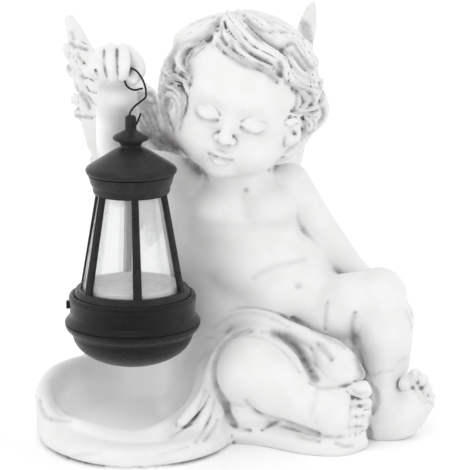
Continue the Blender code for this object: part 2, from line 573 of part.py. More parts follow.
# feathers of his right wing: root, middle and tip as (across, up, forward), and half width
FEATHERS = [
    ((-65, 262, -50), (-79, 241, -58), (-87, 221, -64), 9),
    ((-73, 275, -54), (-91, 255, -64), (-103, 235, -70), 10),
    ((-81, 291, -58), (-105, 275, -68), (-123, 261, -76), 10),
    ((-87, 303, -62), (-115, 293, -74), (-137, 284, -82), 10),
    ((-93, 317, -64), (-123, 309, -76), (-146, 306, -86), 10.5),
    ((-97, 329, -66), (-127, 324, -78), (-149, 325, -88), 10.5),
    ((-101, 339, -68), (-131, 337, -80), (-153, 341, -90), 10),
    ((-105, 349, -70), (-137, 349, -82), (-162, 356, -92), 10.5),
    ((-109, 359, -72), (-141, 361, -84), (-165, 370, -94), 10.5),
    ((-113, 369, -74), (-139, 373, -86), (-162, 385, -94), 10),
    ((-117, 377, -76), (-145, 387, -88), (-169, 402, -96), 11),
    ((-121, 385, -78), (-149, 401, -90), (-172, 424, -98), 11.5),
    ((-125, 391, -80), (-149, 417, -92), (-168, 454, -100), 12),
]
# rows of small feathers over them: where each starts and ends along the large ones, and half width
COVERTS = [(0.34, 0.66, 9.5), (0.16, 0.46, 9.0), (-0.02, 0.28, 8.5)]


def wing(clay, carry):
    n = carry(np.array([0.0, -1.0, 0.25]), True)
    n = n / np.linalg.norm(n)
    # root, growing out of the shoulder blade
    limb(clay, [carry(at(*q)) for q in ((-30, 267, -34), (-51, 279, -46), (-67, 302, -56))], [20, 17, 12], 14)
    # the web under the feathers
    web = [((-59, 277, -52), 26), ((-77, 317, -62), 30), ((-95, 347, -70), 30), ((-113, 375, -78), 25),
           ((-131, 405, -88), 15)]
    band(clay, [carry(at(*q)) for q, _ in web], [w for _, w in web], [7, 6.5, 6, 5.5, 4.5], n, 5)
    web = [((-89, 271, -62), 18), ((-113, 301, -72), 22), ((-127, 333, -77), 24), ((-137, 361, -84), 20),
           ((-147, 401, -90), 12)]
    band(clay, [carry(at(*q)) for q, _ in web], [w for _, w in web], [4.5, 4.5, 4.5, 4, 3.5], n, 4)
    edge = ((-59, 307, -54), (-71, 345, -64), (-85, 371, -72), (-107, 391, -79), (-131, 417, -90))
    band(clay, [carry(at(*q)) for q in edge], [9, 8.5, 8, 7, 4], [9, 8, 7, 6, 4], n, 4)
    for root, mid, tip, wide in FEATHERS:
        a, m, t = (carry(at(*q)) for q in (root, mid, tip))
        e = t + (m - t) * 0.12
        wides = [wide, wide * 1.1, wide * 1.1, wide * 0.95, wide * 0.55]
        band(clay, [a, (a + m) / 2, m, (m + e) / 2, e], wides, [4.5, 4.5, 4, 3.5, 2.5], n, 1.0,
             barbs=5.0, barb_depth=0.8, steps=15)
    for lo, hi, wide in COVERTS:
        for (root, _, tip, _), (root2, _, tip2, _) in zip(FEATHERS, FEATHERS[1:]):
            a0, a1 = carry(at(*root)), carry(at(*root2))
            t0, t1 = carry(at(*tip)), carry(at(*tip2))
            base, end = (a0 + a1) / 2, (t0 + t1) / 2
            s, e = base + (end - base) * lo, base + (end - base) * hi
            for side in (1, -1):
                off = n * (6.4 - 5 * lo) * side
                path = [s + off, (s + e) / 2 + off, e + off * 0.75]
                wides = [wide * 0.7, wide, 4]
                band(clay, path, wides, [3, 3, 2.4], n, 0.8, barbs=4.5, barb_depth=0.8, steps=7)


def carry_left(q, direction=False):
    return q


L0, L1, L2 = at(-70, 307, -56), at(-168, 454, -100), at(-149, 326, -88)
R0, R1, R2 = at(39, 302, -50), at(76, 465, -104), at(59, 317, -128)


def carry_right(q, direction=False):
    """The other wing: the same feathers, mirrored and swung back behind the head."""
    def frame(a, b, d):
        u, v = b - a, d - a
        w = np.cross(u, v)
        w /= np.linalg.norm(w)
        return np.array([u, v, w]).T
    m = frame(R0, R1, R2) @ np.diag([1, 1, -1]) @ np.linalg.inv(frame(L0, L1, L2))
    return m @ q if direction else R0 + m @ (q - L0)


def wings(clay):
    wing(clay, carry_left)
    wing(clay, carry_right)


def sculpt(cell):
    clay = Clay((-212, -175, -8), (212, 145, 428), cell)
    torso(clay)
    wings(clay)
    skin_marks(clay)
    cloth(clay)
    basin(clay)
    legs(clay)
    front_leg(clay)
    arms(clay)
    fist(clay)
    hair(clay)
    face(clay)
    ears(clay)
    return clay


def surface(clay):
    """Corner points and four-sided faces of the clay's one outer surface."""
    grid = openvdb.FloatGrid(FAR)
    grid.copyFromArray(clay.field)
    points, quads = grid.convertToQuads(0.0)
    points, quads = points * clay.cell + clay.low, quads[:, ::-1].astype(int)
    label = np.arange(len(points))
    edges = np.vstack([quads[:, [0, 1]], quads[:, [1, 2]], quads[:, [2, 3]], quads[:, [3, 0]]])
    while True:
        lowest = np.minimum(label[edges[:, 0]], label[edges[:, 1]])
        fresh = label.copy()
        np.minimum.at(fresh, edges[:, 0], lowest)
        np.minimum.at(fresh, edges[:, 1], lowest)
        fresh = fresh[fresh]
        if np.array_equal(fresh, label):
            break
        label = fresh
    kept = label == np.bincount(label).argmax()
    place = np.cumsum(kept) - 1
    return points[kept], place[quads[kept[quads[:, 0]]]]


def new_object(name, points, faces):
    mesh = bpy.data.meshes.new(name)
    mesh.from_pydata([tuple(p) for p in points], [], [tuple(int(i) for i in f) for f in faces])
    mesh.update()
    made = bpy.data.objects.new(name, mesh)
    bpy.context.scene.collection.objects.link(made)
    return made


def settled(item):
    """Bake an object's modifiers into its mesh."""
    depsgraph = bpy.context.evaluated_depsgraph_get()
    mesh = bpy.data.meshes.new_from_object(item.evaluated_get(depsgraph))
    item.modifiers.clear()
    item.data = mesh
    mesh.name = item.name
    return item


def joined(item, other, kind):
    """Boolean of two objects by the exact solver; the second is used up."""
    step = item.modifiers.new(kind.lower(), "BOOLEAN")
    step.operation = kind
    step.solver = "EXACT"
    step.object = other
    other.hide_render = True
    other.display_type = "WIRE"
    settled(item)
    bpy.data.objects.remove(other)
    return item


def cut_flat(item):
    """Slice off what lies under the ground and close the cut."""
    work = bmesh.new()
    work.from_mesh(item.data)
    bmesh.ops.bisect_plane(work, geom=work.verts[:] + work.edges[:] + work.faces[:], dist=1e-7,
                           plane_co=(0, 0, 0), plane_no=(0, 0, 1), clear_inner=True)
    rim = [edge for edge in work.edges if edge.is_boundary]
    bmesh.ops.triangle_fill(work, edges=rim, use_beauty=True, use_dissolve=False, normal=(0, 0, -1))
    bmesh.ops.triangulate(work, faces=work.faces[:])
    bmesh.ops.remove_doubles(work, verts=work.verts[:], dist=1e-6)
    bmesh.ops.recalc_face_normals(work, faces=work.faces[:])
    work.to_mesh(item.data)
    work.free()


def turned(name, profile, low, steps=ROUND_STEPS):
    """Solid turned about the lantern's axis from (radius, height) in metres, listed round its outline."""
    points, rings = [], []
    for radius, height in profile:
        if radius == 0:
            rings.append([len(points)] * steps)
            points.append((low.x, low.y, low.z + height))
            continue
        rings.append(list(range(len(points), len(points) + steps)))
        for k in range(steps):
            turn = 2 * math.pi * (k + 0.5) / steps
            points.append((low.x + radius * math.cos(turn), low.y + radius * math.sin(turn), low.z + height))
    faces = []
    closed = profile[0][0] != 0
    pairs = list(zip(rings, rings[1:])) + ([(rings[-1], rings[0])] if closed else [])
    for one, two in pairs:
        for k in range(steps):
            n = (k + 1) % steps
            corners = [one[k], one[n], two[n], two[k]]
            face = [c for i, c in enumerate(corners) if c not in corners[:i]]
            if len(face) > 2:
                faces.append(face)
    made = new_object(name, points, faces)
    face_out(made)
    return made


def face_out(item):
    work = bmesh.new()
    work.from_mesh(item.data)
    bmesh.ops.recalc_face_normals(work, faces=work.faces[:])
    work.to_mesh(item.data)
    work.free()


def tube(name, line, radius, steps):
    """Round bar along a line of points."""
    line = [Vector(p) for p in line]
    ways = [(b - a).normalized() for a, b in zip(line, line[1:])]
    ways = [ways[0]] + [(a + b).normalized() for a, b in zip(ways, ways[1:])] + [ways[-1]]
    side = ways[0].orthogonal().normalized()
    points = []
    for centre, way in zip(line, ways):
        side = (side - way * side.dot(way)).normalized()
        up = way.cross(side)
        for k in range(steps):
            turn = 2 * math.pi * k / steps
            points.append(centre + (side * math.cos(turn) + up * math.sin(turn)) * radius)
    faces = [list(range(steps)), list(range(len(points) - steps, len(points)))]
    for ring in range(len(line) - 1):
        for k in range(steps):
            n = (k + 1) % steps
            faces.append([ring * steps + k, ring * steps + n, (ring + 1) * steps + n, (ring + 1) * steps + k])
    made = new_object(name, points, faces)
    face_out(made)
    return made


def block(name, corners):
    """Bar between two four-cornered ends."""
    faces = [(0, 1, 2, 3), (4, 5, 6, 7), (0, 1, 5, 4), (1, 2, 6, 5), (2, 3, 7, 6), (3, 0, 4, 7)]
    made = new_object(name, corners, faces)
    face_out(made)
    return made


# The wire as (across, up, forward), from its free end under the fingers, through the hand, down and through
# the knob
WIRE_LINE = [(-92, 378.5, 69.5), (-95.3, 378, 70), (-100, 377, 71.5), (-104.5, 378.2, 73),
             (-108, 381, 74), (-110.2, 385.7, 73.5), (-110.4, 390, 70.5), (-108.5, 394.5, 69),
             (-106, 397.5, 70.5), (-103.6, 398.6, 73.5), (-100, 397, 74.5), (-97, 394.3, 73),
             (-92.4, 387.4, 70), (-89.6, 379.4, 68), (-89, 373.6, 67.2), (-89.6, 369.6, 66.6),
             (-94.2, 365.6, 66), (-100, 361, 66), (-104, 356, 66), (-105.6, 351.6, 66),
             (-105.9, 347.6, 66), (-104.4, 343.4, 67.5), (-102, 341.4, 70.5), (-99.4, 342, 73),
             (-97.4, 345.6, 73.4), (-95.6, 350, 73), (-94.2, 354, 72.5)]


def finish(item, look):
    """Give an object a material of its own."""
    colour, roughness, metallic = look
    material = bpy.data.materials.new(item.name)
    material.use_nodes = True
    shader = material.node_tree.nodes["Principled BSDF"]
    shader.inputs["Base Color"].default_value = (*colour, 1.0)
    shader.inputs["Roughness"].default_value = roughness
    shader.inputs["Metallic"].default_value = metallic
    if look is CLEAR:
        shader.inputs["Transmission Weight"].default_value = 1.0
    item.data.materials.clear()
    item.data.materials.append(material)


def build_angel():
    points, quads = surface(sculpt(FIGURE_CELL))
    angel = new_object("angel", points * SQUARE, quads)
    thin = angel.modifiers.new("thin", "DECIMATE")
    thin.ratio = FIGURE_FACES / (2.0 * len(quads))
    settled(angel)
    cut_flat(angel)
    return angel


def strut(low, row, k):
    """One slanting bar of the cage, the kth round its axis."""
    turn = STRUT_TURN + 2 * math.pi * k / STRUT_COUNT
    out = Vector((math.sin(turn), -math.cos(turn), 0))
    side = Vector((math.cos(turn), math.sin(turn), 0))
    corners = []
    for (radius, height), wide in zip(STRUT_LINE, STRUT_WIDTHS):
        middle = low + (out * radius + Vector((0, 0, height))) * row
        for s, o in ((-1, -1), (1, -1), (1, 1), (-1, 1)):
            corners.append(middle + side * (s * wide / 2) + out * (o * STRUT_THICKNESS / 2))
    return block("strut", corners)


def build_lantern(low, row):
    """Every piece of the lantern, its underside at low, with one row of its outline this long."""
    def rows(outline):
        return [(radius * row, height * row) for radius, height in outline]

    # the bowl, and the base that stands on it
    arc = [math.pi / 2 * k / (BOWL_STEPS - 1) for k in range(1, BOWL_STEPS)]
    side = [(BOWL_RADIUS * math.sin(a), BOWL_DEPTH * (1 - math.cos(a))) for a in arc] + BOWL_RIM
    bowl = turned("lantern_bowl", rows([(0, 0)] + side + [(SEAM_RADIUS, BOWL_TOP), (0, BOWL_TOP)]), low)
    seam = BOWL_TOP * row + SEAT
    floor = BASE_FLOOR * row
    recess = RING_RADII[0] * row + SLIDE
    base = turned("lantern_base", [(0, seam), (SEAM_RADIUS * row, seam)] + rows(BAND)
                  + [(recess, floor), (0, floor)], low)
    (across, up), (wide, high), deep = LUG
    corners = []
    for x in (across, across + deep):
        for y, z in ((-1, -1), (1, -1), (1, 1), (-1, 1)):
            corners.append(low + Vector((x, y * wide / 2, up + z * high / 2)) * row)
    joined(base, block("lug", corners), "UNION")

    # the plate, the glass round it and the cage round the glass, all standing on the base's floor
    foot = floor + SEAT
    edge = GLASS_FOOT * row - GLASS_WALL - SLIDE
    face = foot + PLATE_THICKNESS
    lip = edge - PLATE_RIM[0]
    brim = face + PLATE_RIM[1]
    plate = turned("light_plate", [(0, foot), (edge, foot), (edge, brim), (lip, brim),
                                   (lip - PLATE_RIM[1], face), (0, face)], low)
    neck = DISC * row - 2 * SEAT
    outer = [(GLASS_FOOT * row, foot), (GLASS_FOOT * row, RING_TOP * row), (GLASS_NECK * row, neck)]
    inner = [(radius - GLASS_WALL, height) for radius, height in reversed(outer)]
    glass = turned("lantern_glass", outer + inner, low)
    cage = turned("lantern_cage", rows([(0, DISC), (SKIRT[0][0], DISC)] + SKIRT
                                       + [COLLAR_RIM, (0, COLLAR_RIM[1])]), low)
    hole = GLASS_FOOT * row + SLIDE
    crown = RING_TOP * row
    ring = [(RING_RADII[0] * row, foot), (RING_RADII[1] * row, crown), (hole, crown), (hole, foot)]
    joined(cage, turned("foot_ring", ring, low), "UNION")
    for k in range(STRUT_COUNT):
        joined(cage, strut(low, row, k), "UNION")

    # the cap on the collar
    rim = COLLAR_RIM[1] * row + SEAT
    cap = turned("lantern_cap", [(0, rim)] + rows(CAP_SIDE + [(0, CAP_TOP)]), low)
    return cap, {bowl: BLACK, base: BLACK, plate: PALE, glass: CLEAR, cage: BLACK, cap: BLACK}


def build():
    for item in list(bpy.data.objects):
        bpy.data.objects.remove(item)

    low = Vector((LANTERN_AXIS[0] * SQUARE, LANTERN_AXIS[1] * SQUARE, BASIN_TOP * SQUARE + HANG))
    row = (at(*WIRE_LOOP)[2] * SQUARE - low.z) / HOLE_ROW
    cap, looks = build_lantern(low, row)
    angel = build_angel()

    # the wire, and the channels that it runs in through the hand and the knob
    line = [p * SQUARE for p in spline([at(*p) for p in WIRE_LINE], 2 * len(WIRE_LINE) - 1)]
    wire = tube("wire_hook", line, WIRE_DIAMETER / 2, WIRE_STEPS)
    bore = WIRE_DIAMETER / 2 + WIRE_CLEARANCE
    joined(angel, tube("hand_channel", line[HAND_RUN], bore, CHANNEL_STEPS), "DIFFERENCE")
    joined(cap, tube("knob_channel", line[KNOB_RUN], bore, CHANNEL_STEPS), "DIFFERENCE")
    looks.update({angel: RESIN, wire: WIRE})

    # the origin under the middle of the whole part
    places = [vertex.co for item in looks for vertex in item.data.vertices]
    middle = Vector([(min(p[i] for p in places) + max(p[i] for p in places)) / 2 for i in range(2)] + [0])
    for item, look in looks.items():
        for vertex in item.data.vertices:
            vertex.co -= middle
        finish(item, look)


build()
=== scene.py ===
"""Looks of the garden angel: the carved figure in fine mesh, its grey wash, and the hanging lantern.

Lengths of the figure are in squares of its squared-up front elevation, as in the part's own source, and
become metres through SQUARE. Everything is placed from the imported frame.
"""
import math

import bmesh
import bpy
import numpy as np
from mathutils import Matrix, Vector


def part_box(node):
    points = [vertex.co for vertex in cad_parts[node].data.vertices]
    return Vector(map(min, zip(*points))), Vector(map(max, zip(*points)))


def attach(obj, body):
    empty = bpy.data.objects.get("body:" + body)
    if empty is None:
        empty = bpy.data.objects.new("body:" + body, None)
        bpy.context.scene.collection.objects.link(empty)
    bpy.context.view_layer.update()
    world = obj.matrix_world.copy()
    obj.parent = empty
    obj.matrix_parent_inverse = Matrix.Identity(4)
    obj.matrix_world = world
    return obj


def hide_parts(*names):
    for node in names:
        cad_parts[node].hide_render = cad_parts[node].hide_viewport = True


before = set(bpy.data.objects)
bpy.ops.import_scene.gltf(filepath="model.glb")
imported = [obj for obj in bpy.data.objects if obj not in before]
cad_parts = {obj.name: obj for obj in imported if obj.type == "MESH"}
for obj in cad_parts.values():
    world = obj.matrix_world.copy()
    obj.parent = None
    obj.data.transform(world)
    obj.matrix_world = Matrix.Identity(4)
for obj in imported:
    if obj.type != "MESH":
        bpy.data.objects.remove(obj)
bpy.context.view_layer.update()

import openvdb
from mathutils import Vector

# The squared-up elevation: a place on it is given as squares across from the middle line, squares up the
# elevation, and squares forward of the figure's middle plane
FIGURE_HEIGHT = 0.315
GRID_ROWS = 416
SQUARE = FIGURE_HEIGHT / GRID_ROWS
VIEW_TILT = math.radians(13.0)
VIEW_DISTANCE = 2250.0
EYE_LEVEL = 188.0
MID_UP = 232.0
COS_TILT = math.cos(VIEW_TILT)
SIN_TILT = math.sin(VIEW_TILT)
EYE = np.array([0.0, -VIEW_DISTANCE * COS_TILT, EYE_LEVEL + VIEW_DISTANCE * SIN_TILT])
PICTURE_WIDTH = 470.0

FAR = 14.0                      # distances are only kept up to this many squares
FIGURE_CELL = 1.5
FIGURE_TRIANGLES = 196000
OUT_OF_REACH = 1e4              # distance given to places that a line doesn't reach
LINE_REACH = 2.2                # a soft line is felt this many of its widths away
THINNEST = 0.8                  # least half width of a lock, fold or feather
FINE_COMB = 0.22                # share of the finer combing in a lock
BARB_SLANT = 0.9                # how far the barbs run on along a feather, for each square off its quill
QUILL_HALF = 1.6
QUILL_RISE = 0.6                # height of a quill, in depths of the barbs
BLUR_PASSES = 2
SIGHT_REACH = 260.0             # how far before and behind the middle plane the line of sight is followed
LINE_CELLS = 1.15               # narrowest drawn groove, in cells of the grid
WASH_DEPTH = 4.2                # a groove this deep takes the full wash
HAIR_WASH = 0.75                # share of the full wash that stays in the hair
SKIN_WASH = 0.38                # share of the wash that stays in the softer creases
SIGHT_JUMP = 14.0               # a longer step than this is a line that has left its surface

# Where the figure's own middle and the lantern's axis stand in the frame
LANTERN_AXIS = (-100.0, -66.0)
bowl_low, bowl_high = (Vector(corner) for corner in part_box("lantern_bowl"))
LANTERN_FOOT = Vector(((bowl_low.x + bowl_high.x) / 2, (bowl_low.y + bowl_high.y) / 2, bowl_low.z))
SHIFT = Vector((LANTERN_FOOT.x - LANTERN_AXIS[0] * SQUARE, LANTERN_FOOT.y - LANTERN_AXIS[1] * SQUARE, 0))


class Clay:
    """A block of space that holds the distance to the clay's surface, below 0 inside, and the wash with the
    painted shade.
    """

    def __init__(self, low, high, cell):
        self.low = np.array(low, float)
        self.cell = float(cell)
        self.shape = np.ceil((np.array(high) - self.low) / cell).astype(int) + 1
        self.field = np.full(self.shape, FAR, np.float32)
        self.wash_and_painted_shade = np.zeros(self.shape, np.float32)

    def window(self, lo, hi):
        """Slices of the part of the grid between two corners, and the part's three coordinate rows."""
        i0 = np.clip(np.floor((np.asarray(lo) - self.low) / self.cell).astype(int), 0, self.shape)
        i1 = np.clip(np.ceil((np.asarray(hi) - self.low) / self.cell).astype(int) + 1, 0, self.shape)
        rows = [(self.low[k] + self.cell * np.arange(i0[k], i1[k])).astype(np.float32) for k in range(3)]
        return tuple(slice(a, b) for a, b in zip(i0, i1)), rows

    def add(self, where, d, blend):
        """Put on a solid given by its distances, its joint with what is there eased over the blend."""
        there = self.field[where]
        if blend > 0:
            h = np.maximum(blend - np.abs(there - d), 0) / blend
            self.field[where] = np.minimum(there, d) - h * h * blend * 0.25
        else:
            self.field[where] = np.minimum(there, d)

    def carve(self, where, d, blend):
        """Take such a solid away."""
        there = self.field[where]
        h = np.maximum(blend - np.abs(there + d), 0) / max(blend, 1e-6)
        self.field[where] = np.maximum(there, -d) + h * h * blend * 0.25


def box_of(points, reach):
    """Lowest and highest corner of the box that holds the points with this much round them."""
    q = np.array(points, float)
    return q.min(axis=0) - reach, q.max(axis=0) + reach


def spline(points, count):
    """Evenly stepped smooth curve through rows of numbers."""
    p = np.array(points, float)
    if len(p) < 3:
        t = np.linspace(0, 1, count)[:, None]
        return p[0] * (1 - t) + p[-1] * t
    ends = np.vstack([2 * p[0] - p[1], p, 2 * p[-1] - p[-2]])
    n = len(p) - 1
    s = np.linspace(0, n, count)
    i = np.minimum(s.astype(int), n - 1)
    t = (s - i)[:, None]
    a, b, c, d = ends[i], ends[i + 1], ends[i + 2], ends[i + 3]
    square, cube = 2 * a - 5 * b + 4 * c - d, 3 * b - a - 3 * c + d
    return 0.5 * (2 * b + (c - a) * t + square * t ** 2 + cube * t ** 3)


def ball(clay, centre, radii, blend=6, cut=False, turn=None):
    """Ellipsoid, optionally turned by a 3x3 matrix whose rows are its axes."""
    centre = np.asarray(centre, float)
    r = np.ones(3) * np.asarray(radii, float)
    reach = max(r) + blend + 2 * clay.cell
    where, rows = clay.window(centre - reach, centre + reach)
    dx = (rows[0] - centre[0])[:, None, None]
    dy = (rows[1] - centre[1])[None, :, None]
    dz = (rows[2] - centre[2])[None, None, :]
    m = np.eye(3) if turn is None else np.asarray(turn, float)
    u, v, w = (m[k, 0] * dx + m[k, 1] * dy + m[k, 2] * dz for k in range(3))
    k0 = np.sqrt((u / r[0]) ** 2 + (v / r[1]) ** 2 + (w / r[2]) ** 2)
    k1 = np.sqrt((u / r[0] ** 2) ** 2 + (v / r[1] ** 2) ** 2 + (w / r[2] ** 2) ** 2)
    d = (k0 * (k0 - 1) / np.maximum(k1, 1e-6)).astype(np.float32)
    (clay.carve if cut else clay.add)(where, d, blend)


def nearest(rows, line, extra, reach):
    """Distance to a line within reach of it, the values in extra at its nearest place, and the offset."""
    shape = tuple(len(r) for r in rows)
    best = np.full(shape, OUT_OF_REACH ** 2, np.float32)
    values = np.ones((extra.shape[1],) + shape, np.float32)
    offset = np.zeros((3,) + shape, np.float32)
    for i in range(len(line) - 1):
        a, b = line[i], line[i + 1]
        part = tuple(slice(np.searchsorted(rows[k], min(a[k], b[k]) - reach),
                           np.searchsorted(rows[k], max(a[k], b[k]) + reach)) for k in range(3))
        dx = (rows[0][part[0]] - np.float32(a[0]))[:, None, None]
        dy = (rows[1][part[1]] - np.float32(a[1]))[None, :, None]
        dz = (rows[2][part[2]] - np.float32(a[2]))[None, None, :]
        ab = (b - a).astype(np.float32)
        t = np.clip((dx * ab[0] + dy * ab[1] + dz * ab[2]) / max(float(ab @ ab), 1e-9), 0, 1)
        away = (dx - t * ab[0], dy - t * ab[1], dz - t * ab[2])
        d2 = away[0] ** 2 + away[1] ** 2 + away[2] ** 2
        closer = d2 < best[part]
        best[part][closer] = d2[closer]
        t = t[closer]
        for k in range(extra.shape[1]):
            values[k][part][closer] = np.float32(extra[i][k]) * (1 - t) + np.float32(extra[i + 1][k]) * t
        for k in range(3):
            offset[k][part][closer] = away[k][closer]
    return np.sqrt(best), values, offset


def fineness(points):
    """How many places a line through points is followed at."""
    return 4 * len(points) - 3 if len(points) > 2 else 2


def limb(clay, points, radii, blend=6, steps=None, cut=False):
    """Round limb along a smooth line through points, its radius eased through radii."""
    both = np.hstack([np.array(points, float), np.array(radii, float)[:, None]])
    both = spline(both, steps or fineness(points))
    line, radius = both[:, :3], both[:, 3:]
    reach = radius.max() + blend + 2 * clay.cell
    where, rows = clay.window(*box_of(line, reach))
    d, values, _ = nearest(rows, line, radius, reach)
    (clay.carve if cut else clay.add)(where, d - values[0], blend)


def soft_line(clay, line, width):
    """The slices round a line, and how strongly it is felt in them: 1 on the line, easing to 0."""
    reach = LINE_REACH * width
    where, rows = clay.window(*box_of(line, reach))
    d, _, _ = nearest(rows, line, np.zeros((len(line), 1)), reach)
    return where, np.exp(-(d / width) ** 2)


def paired(points):
    """Points as rows of numbers, a lone one given twice."""
    return np.array(list(points) * (1 if len(points) > 1 else 2), float)


def press(clay, points, width, depth, steps=None):
    """Soft groove (depth over 0) or ridge (under 0) along a line on the surface."""
    where, felt = soft_line(clay, spline(paired(points), steps or fineness(points)), width)
    clay.field[where] += (depth * felt).astype(np.float32)


def stain(clay, points, width, strength):
    """Darkening rubbed in along a line, from 0 to 1: the wash, and the painted shade where parts meet."""
    where, felt = soft_line(clay, paired(points), width)
    clay.wash_and_painted_shade[where] = np.maximum(clay.wash_and_painted_shade[where], (strength * felt).astype(np.float32))


def band(clay, points, wide, thick, normals, blend=3, strands=0, groove=0.0, steps=None,
         barbs=0.0, barb_depth=0.0):
    """Flattened lock, fold or feather: an oval section that keeps its flat side along normals.

    strands and groove comb it lengthwise; barbs and barb_depth give it a quill and slanting barbs.
    """
    p = np.array(points, float)
    m = len(p)
    half = np.ones(m) * np.array(wide, float)
    deep = np.ones(m) * np.array(thick, float)
    facing = np.array(normals, float)
    if facing.ndim == 1:
        facing = np.tile(facing, (m, 1))
    n = steps or max(3, 1 + 4 * (m - 1))
    both = spline(np.hstack([p, half[:, None], deep[:, None], facing]), n)
    line, facing = both[:, :3], both[:, 5:8]
    half, deep = np.maximum(both[:, 3], THINNEST), np.maximum(both[:, 4], THINNEST)
    along = np.gradient(line, axis=0)
    along /= np.linalg.norm(along, axis=1)[:, None] + 1e-9
    facing = facing - (facing * along).sum(axis=1)[:, None] * along
    facing /= np.linalg.norm(facing, axis=1)[:, None] + 1e-9
    side = np.cross(along, facing)
    run = np.concatenate([[0], np.cumsum(np.linalg.norm(np.diff(line, axis=0), axis=1))])
    extra = np.hstack([half[:, None], deep[:, None], facing, side, run[:, None]])
    reach = max(half.max(), deep.max()) + blend + 2 * clay.cell
    where, rows = clay.window(*box_of(line, reach))
    away, values, offset = nearest(rows, line, extra, reach)
    a, b = values[0], values[1]
    v = offset[0] * values[2] + offset[1] * values[3] + offset[2] * values[4]
    u = offset[0] * values[5] + offset[1] * values[6] + offset[2] * values[7]
    e2 = np.maximum(away * away - u * u - v * v, 0)
    k0 = np.sqrt((u / a) ** 2 + (v / b) ** 2 + e2 / b ** 2)
    k1 = np.sqrt((u / a ** 2) ** 2 + (v / b ** 2) ** 2 + e2 / b ** 4)
    d = k0 * (k0 - 1) / np.maximum(k1, 1e-6)
    if strands and groove:
        comb = 0.5 - 0.5 * np.cos(np.pi * strands * (u / a))
        fine = 0.5 - 0.5 * np.cos(np.pi * strands * 3 * (u / a))
        fading = np.clip(1.2 - np.abs(u / a) * 0.4, 0, 1)
        d = d + groove * (comb + FINE_COMB * fine) * fading
    if barbs and barb_depth:
        phase = (values[8] + np.abs(u) * BARB_SLANT) / barbs
        barb = 0.5 - 0.5 * np.cos(2 * np.pi * phase)
        quill = np.exp(-(u / QUILL_HALF) ** 2)
        d = d + barb_depth * barb * (1 - quill) - QUILL_RISE * barb_depth * quill
    d = np.where(away < OUT_OF_REACH, d, FAR).astype(np.float32)
    clay.add(where, d, blend)


def at(across, up, forward):
    """The place (x right, y away, z up, in squares) that lies forward of the middle plane at a square."""
    v = up - MID_UP
    w = v * (1 - forward * COS_TILT / VIEW_DISTANCE) + forward * SIN_TILT
    w /= COS_TILT + v * SIN_TILT / VIEW_DISTANCE
    t = VIEW_DISTANCE - forward * COS_TILT - w * SIN_TILT
    return np.array([across * t / VIEW_DISTANCE, -forward, w + EYE_LEVEL])


YAW, PITCH, LEAN = 8.0, 5.0, 15.5       # how the head is turned, in degrees


def head_axes():
    """The head's own directions: to the right, up and forward."""
    y, p, l = (math.radians(a) for a in (YAW, PITCH, LEAN))
    r = np.array([math.cos(y), -math.sin(y), 0.0])
    f = np.array([-math.sin(y), -math.cos(y), 0.0])
    u = np.array([0.0, 0.0, 1.0])
    f, u = f * math.cos(p) - u * math.sin(p), u * math.cos(p) + f * math.sin(p)
    r, u = r * math.cos(l) - u * math.sin(l), u * math.cos(l) + r * math.sin(l)
    return r, u, f


HEAD = at(5, 367, 25)
HR, HU, HF = head_axes()
HTURN = np.array([HR, HU, HF])
CAP = np.array([71.0, 69.0, 71.0])      # radii of the hair's base, and its middle
CAPC = np.array([-1.5, 6.0, -9.0])


def hd(r, u, f):
    """The place that lies right, up and forward of the head's middle."""
    return HEAD + r * HR + u * HU + f * HF


def shell(az, el, lift=0.0):
    """Point and outward direction on the hair: az 0 in front and + to the right, el 90 at the crown."""
    a, e = math.radians(az), math.radians(el)
    d = np.array([math.sin(a) * math.cos(e), math.sin(e), math.cos(a) * math.cos(e)])
    q = CAPC + CAP * d + d * lift
    n = d / CAP
    n /= np.linalg.norm(n)
    return hd(*q), n @ HTURN


def sight(across, up, lift=0.0):
    """Where the sight line through a square meets the front of the hair's base, and the outward normal."""
    far = at(across, up, 0)
    o = HTURN @ (EYE - HEAD) - CAPC
    d = HTURN @ (far - EYE)
    o, d = o / CAP, d / CAP
    a, b, c = d @ d, 2 * (o @ d), o @ o - 1
    disc = b * b - 4 * a * c
    t = (-b - math.sqrt(disc)) / (2 * a) if disc > 0 else -b / (2 * a)
    q = o + t * d
    q /= np.linalg.norm(q)
    n = q / CAP
    n /= np.linalg.norm(n)
    return hd(*(CAPC + q * CAP + n * lift)), n @ HTURN


def torso(clay):
    # chest, belly, seat, shoulders, neck, then the back and the flanks
    ball(clay, at(8, 255, -2), (60, 42, 44), 10)
    ball(clay, at(27, 207, 4), (58, 44, 42), 14)
    ball(clay, at(53, 177, 10), (52, 42, 34), 12)
    ball(clay, at(20, 157, -12), (72, 46, 50), 14)
    limb(clay, [at(-35, 275, -6), at(50, 279, -2)], [22, 21], 12)
    limb(clay, [hd(0, -45, 0), at(8, 277, 0)], [34, 34], 10)
    ball(clay, at(-23, 212, -18), (38, 34, 58), 14)
    ball(clay, at(77, 205, -10), (26, 28, 40), 12)
    ball(clay, at(93, 132, 4), (30, 30, 26), 12)
    limb(clay, [at(-44, 283, -22), at(-50, 258, -24), at(-50, 226, -24), at(-44, 196, -20)],
         [17, 19, 19, 18], 12)
    ball(clay, at(-19, 259, 26), (24, 18, 18), 12)
    ball(clay, at(35, 259, 26), (24, 18, 18), 12)


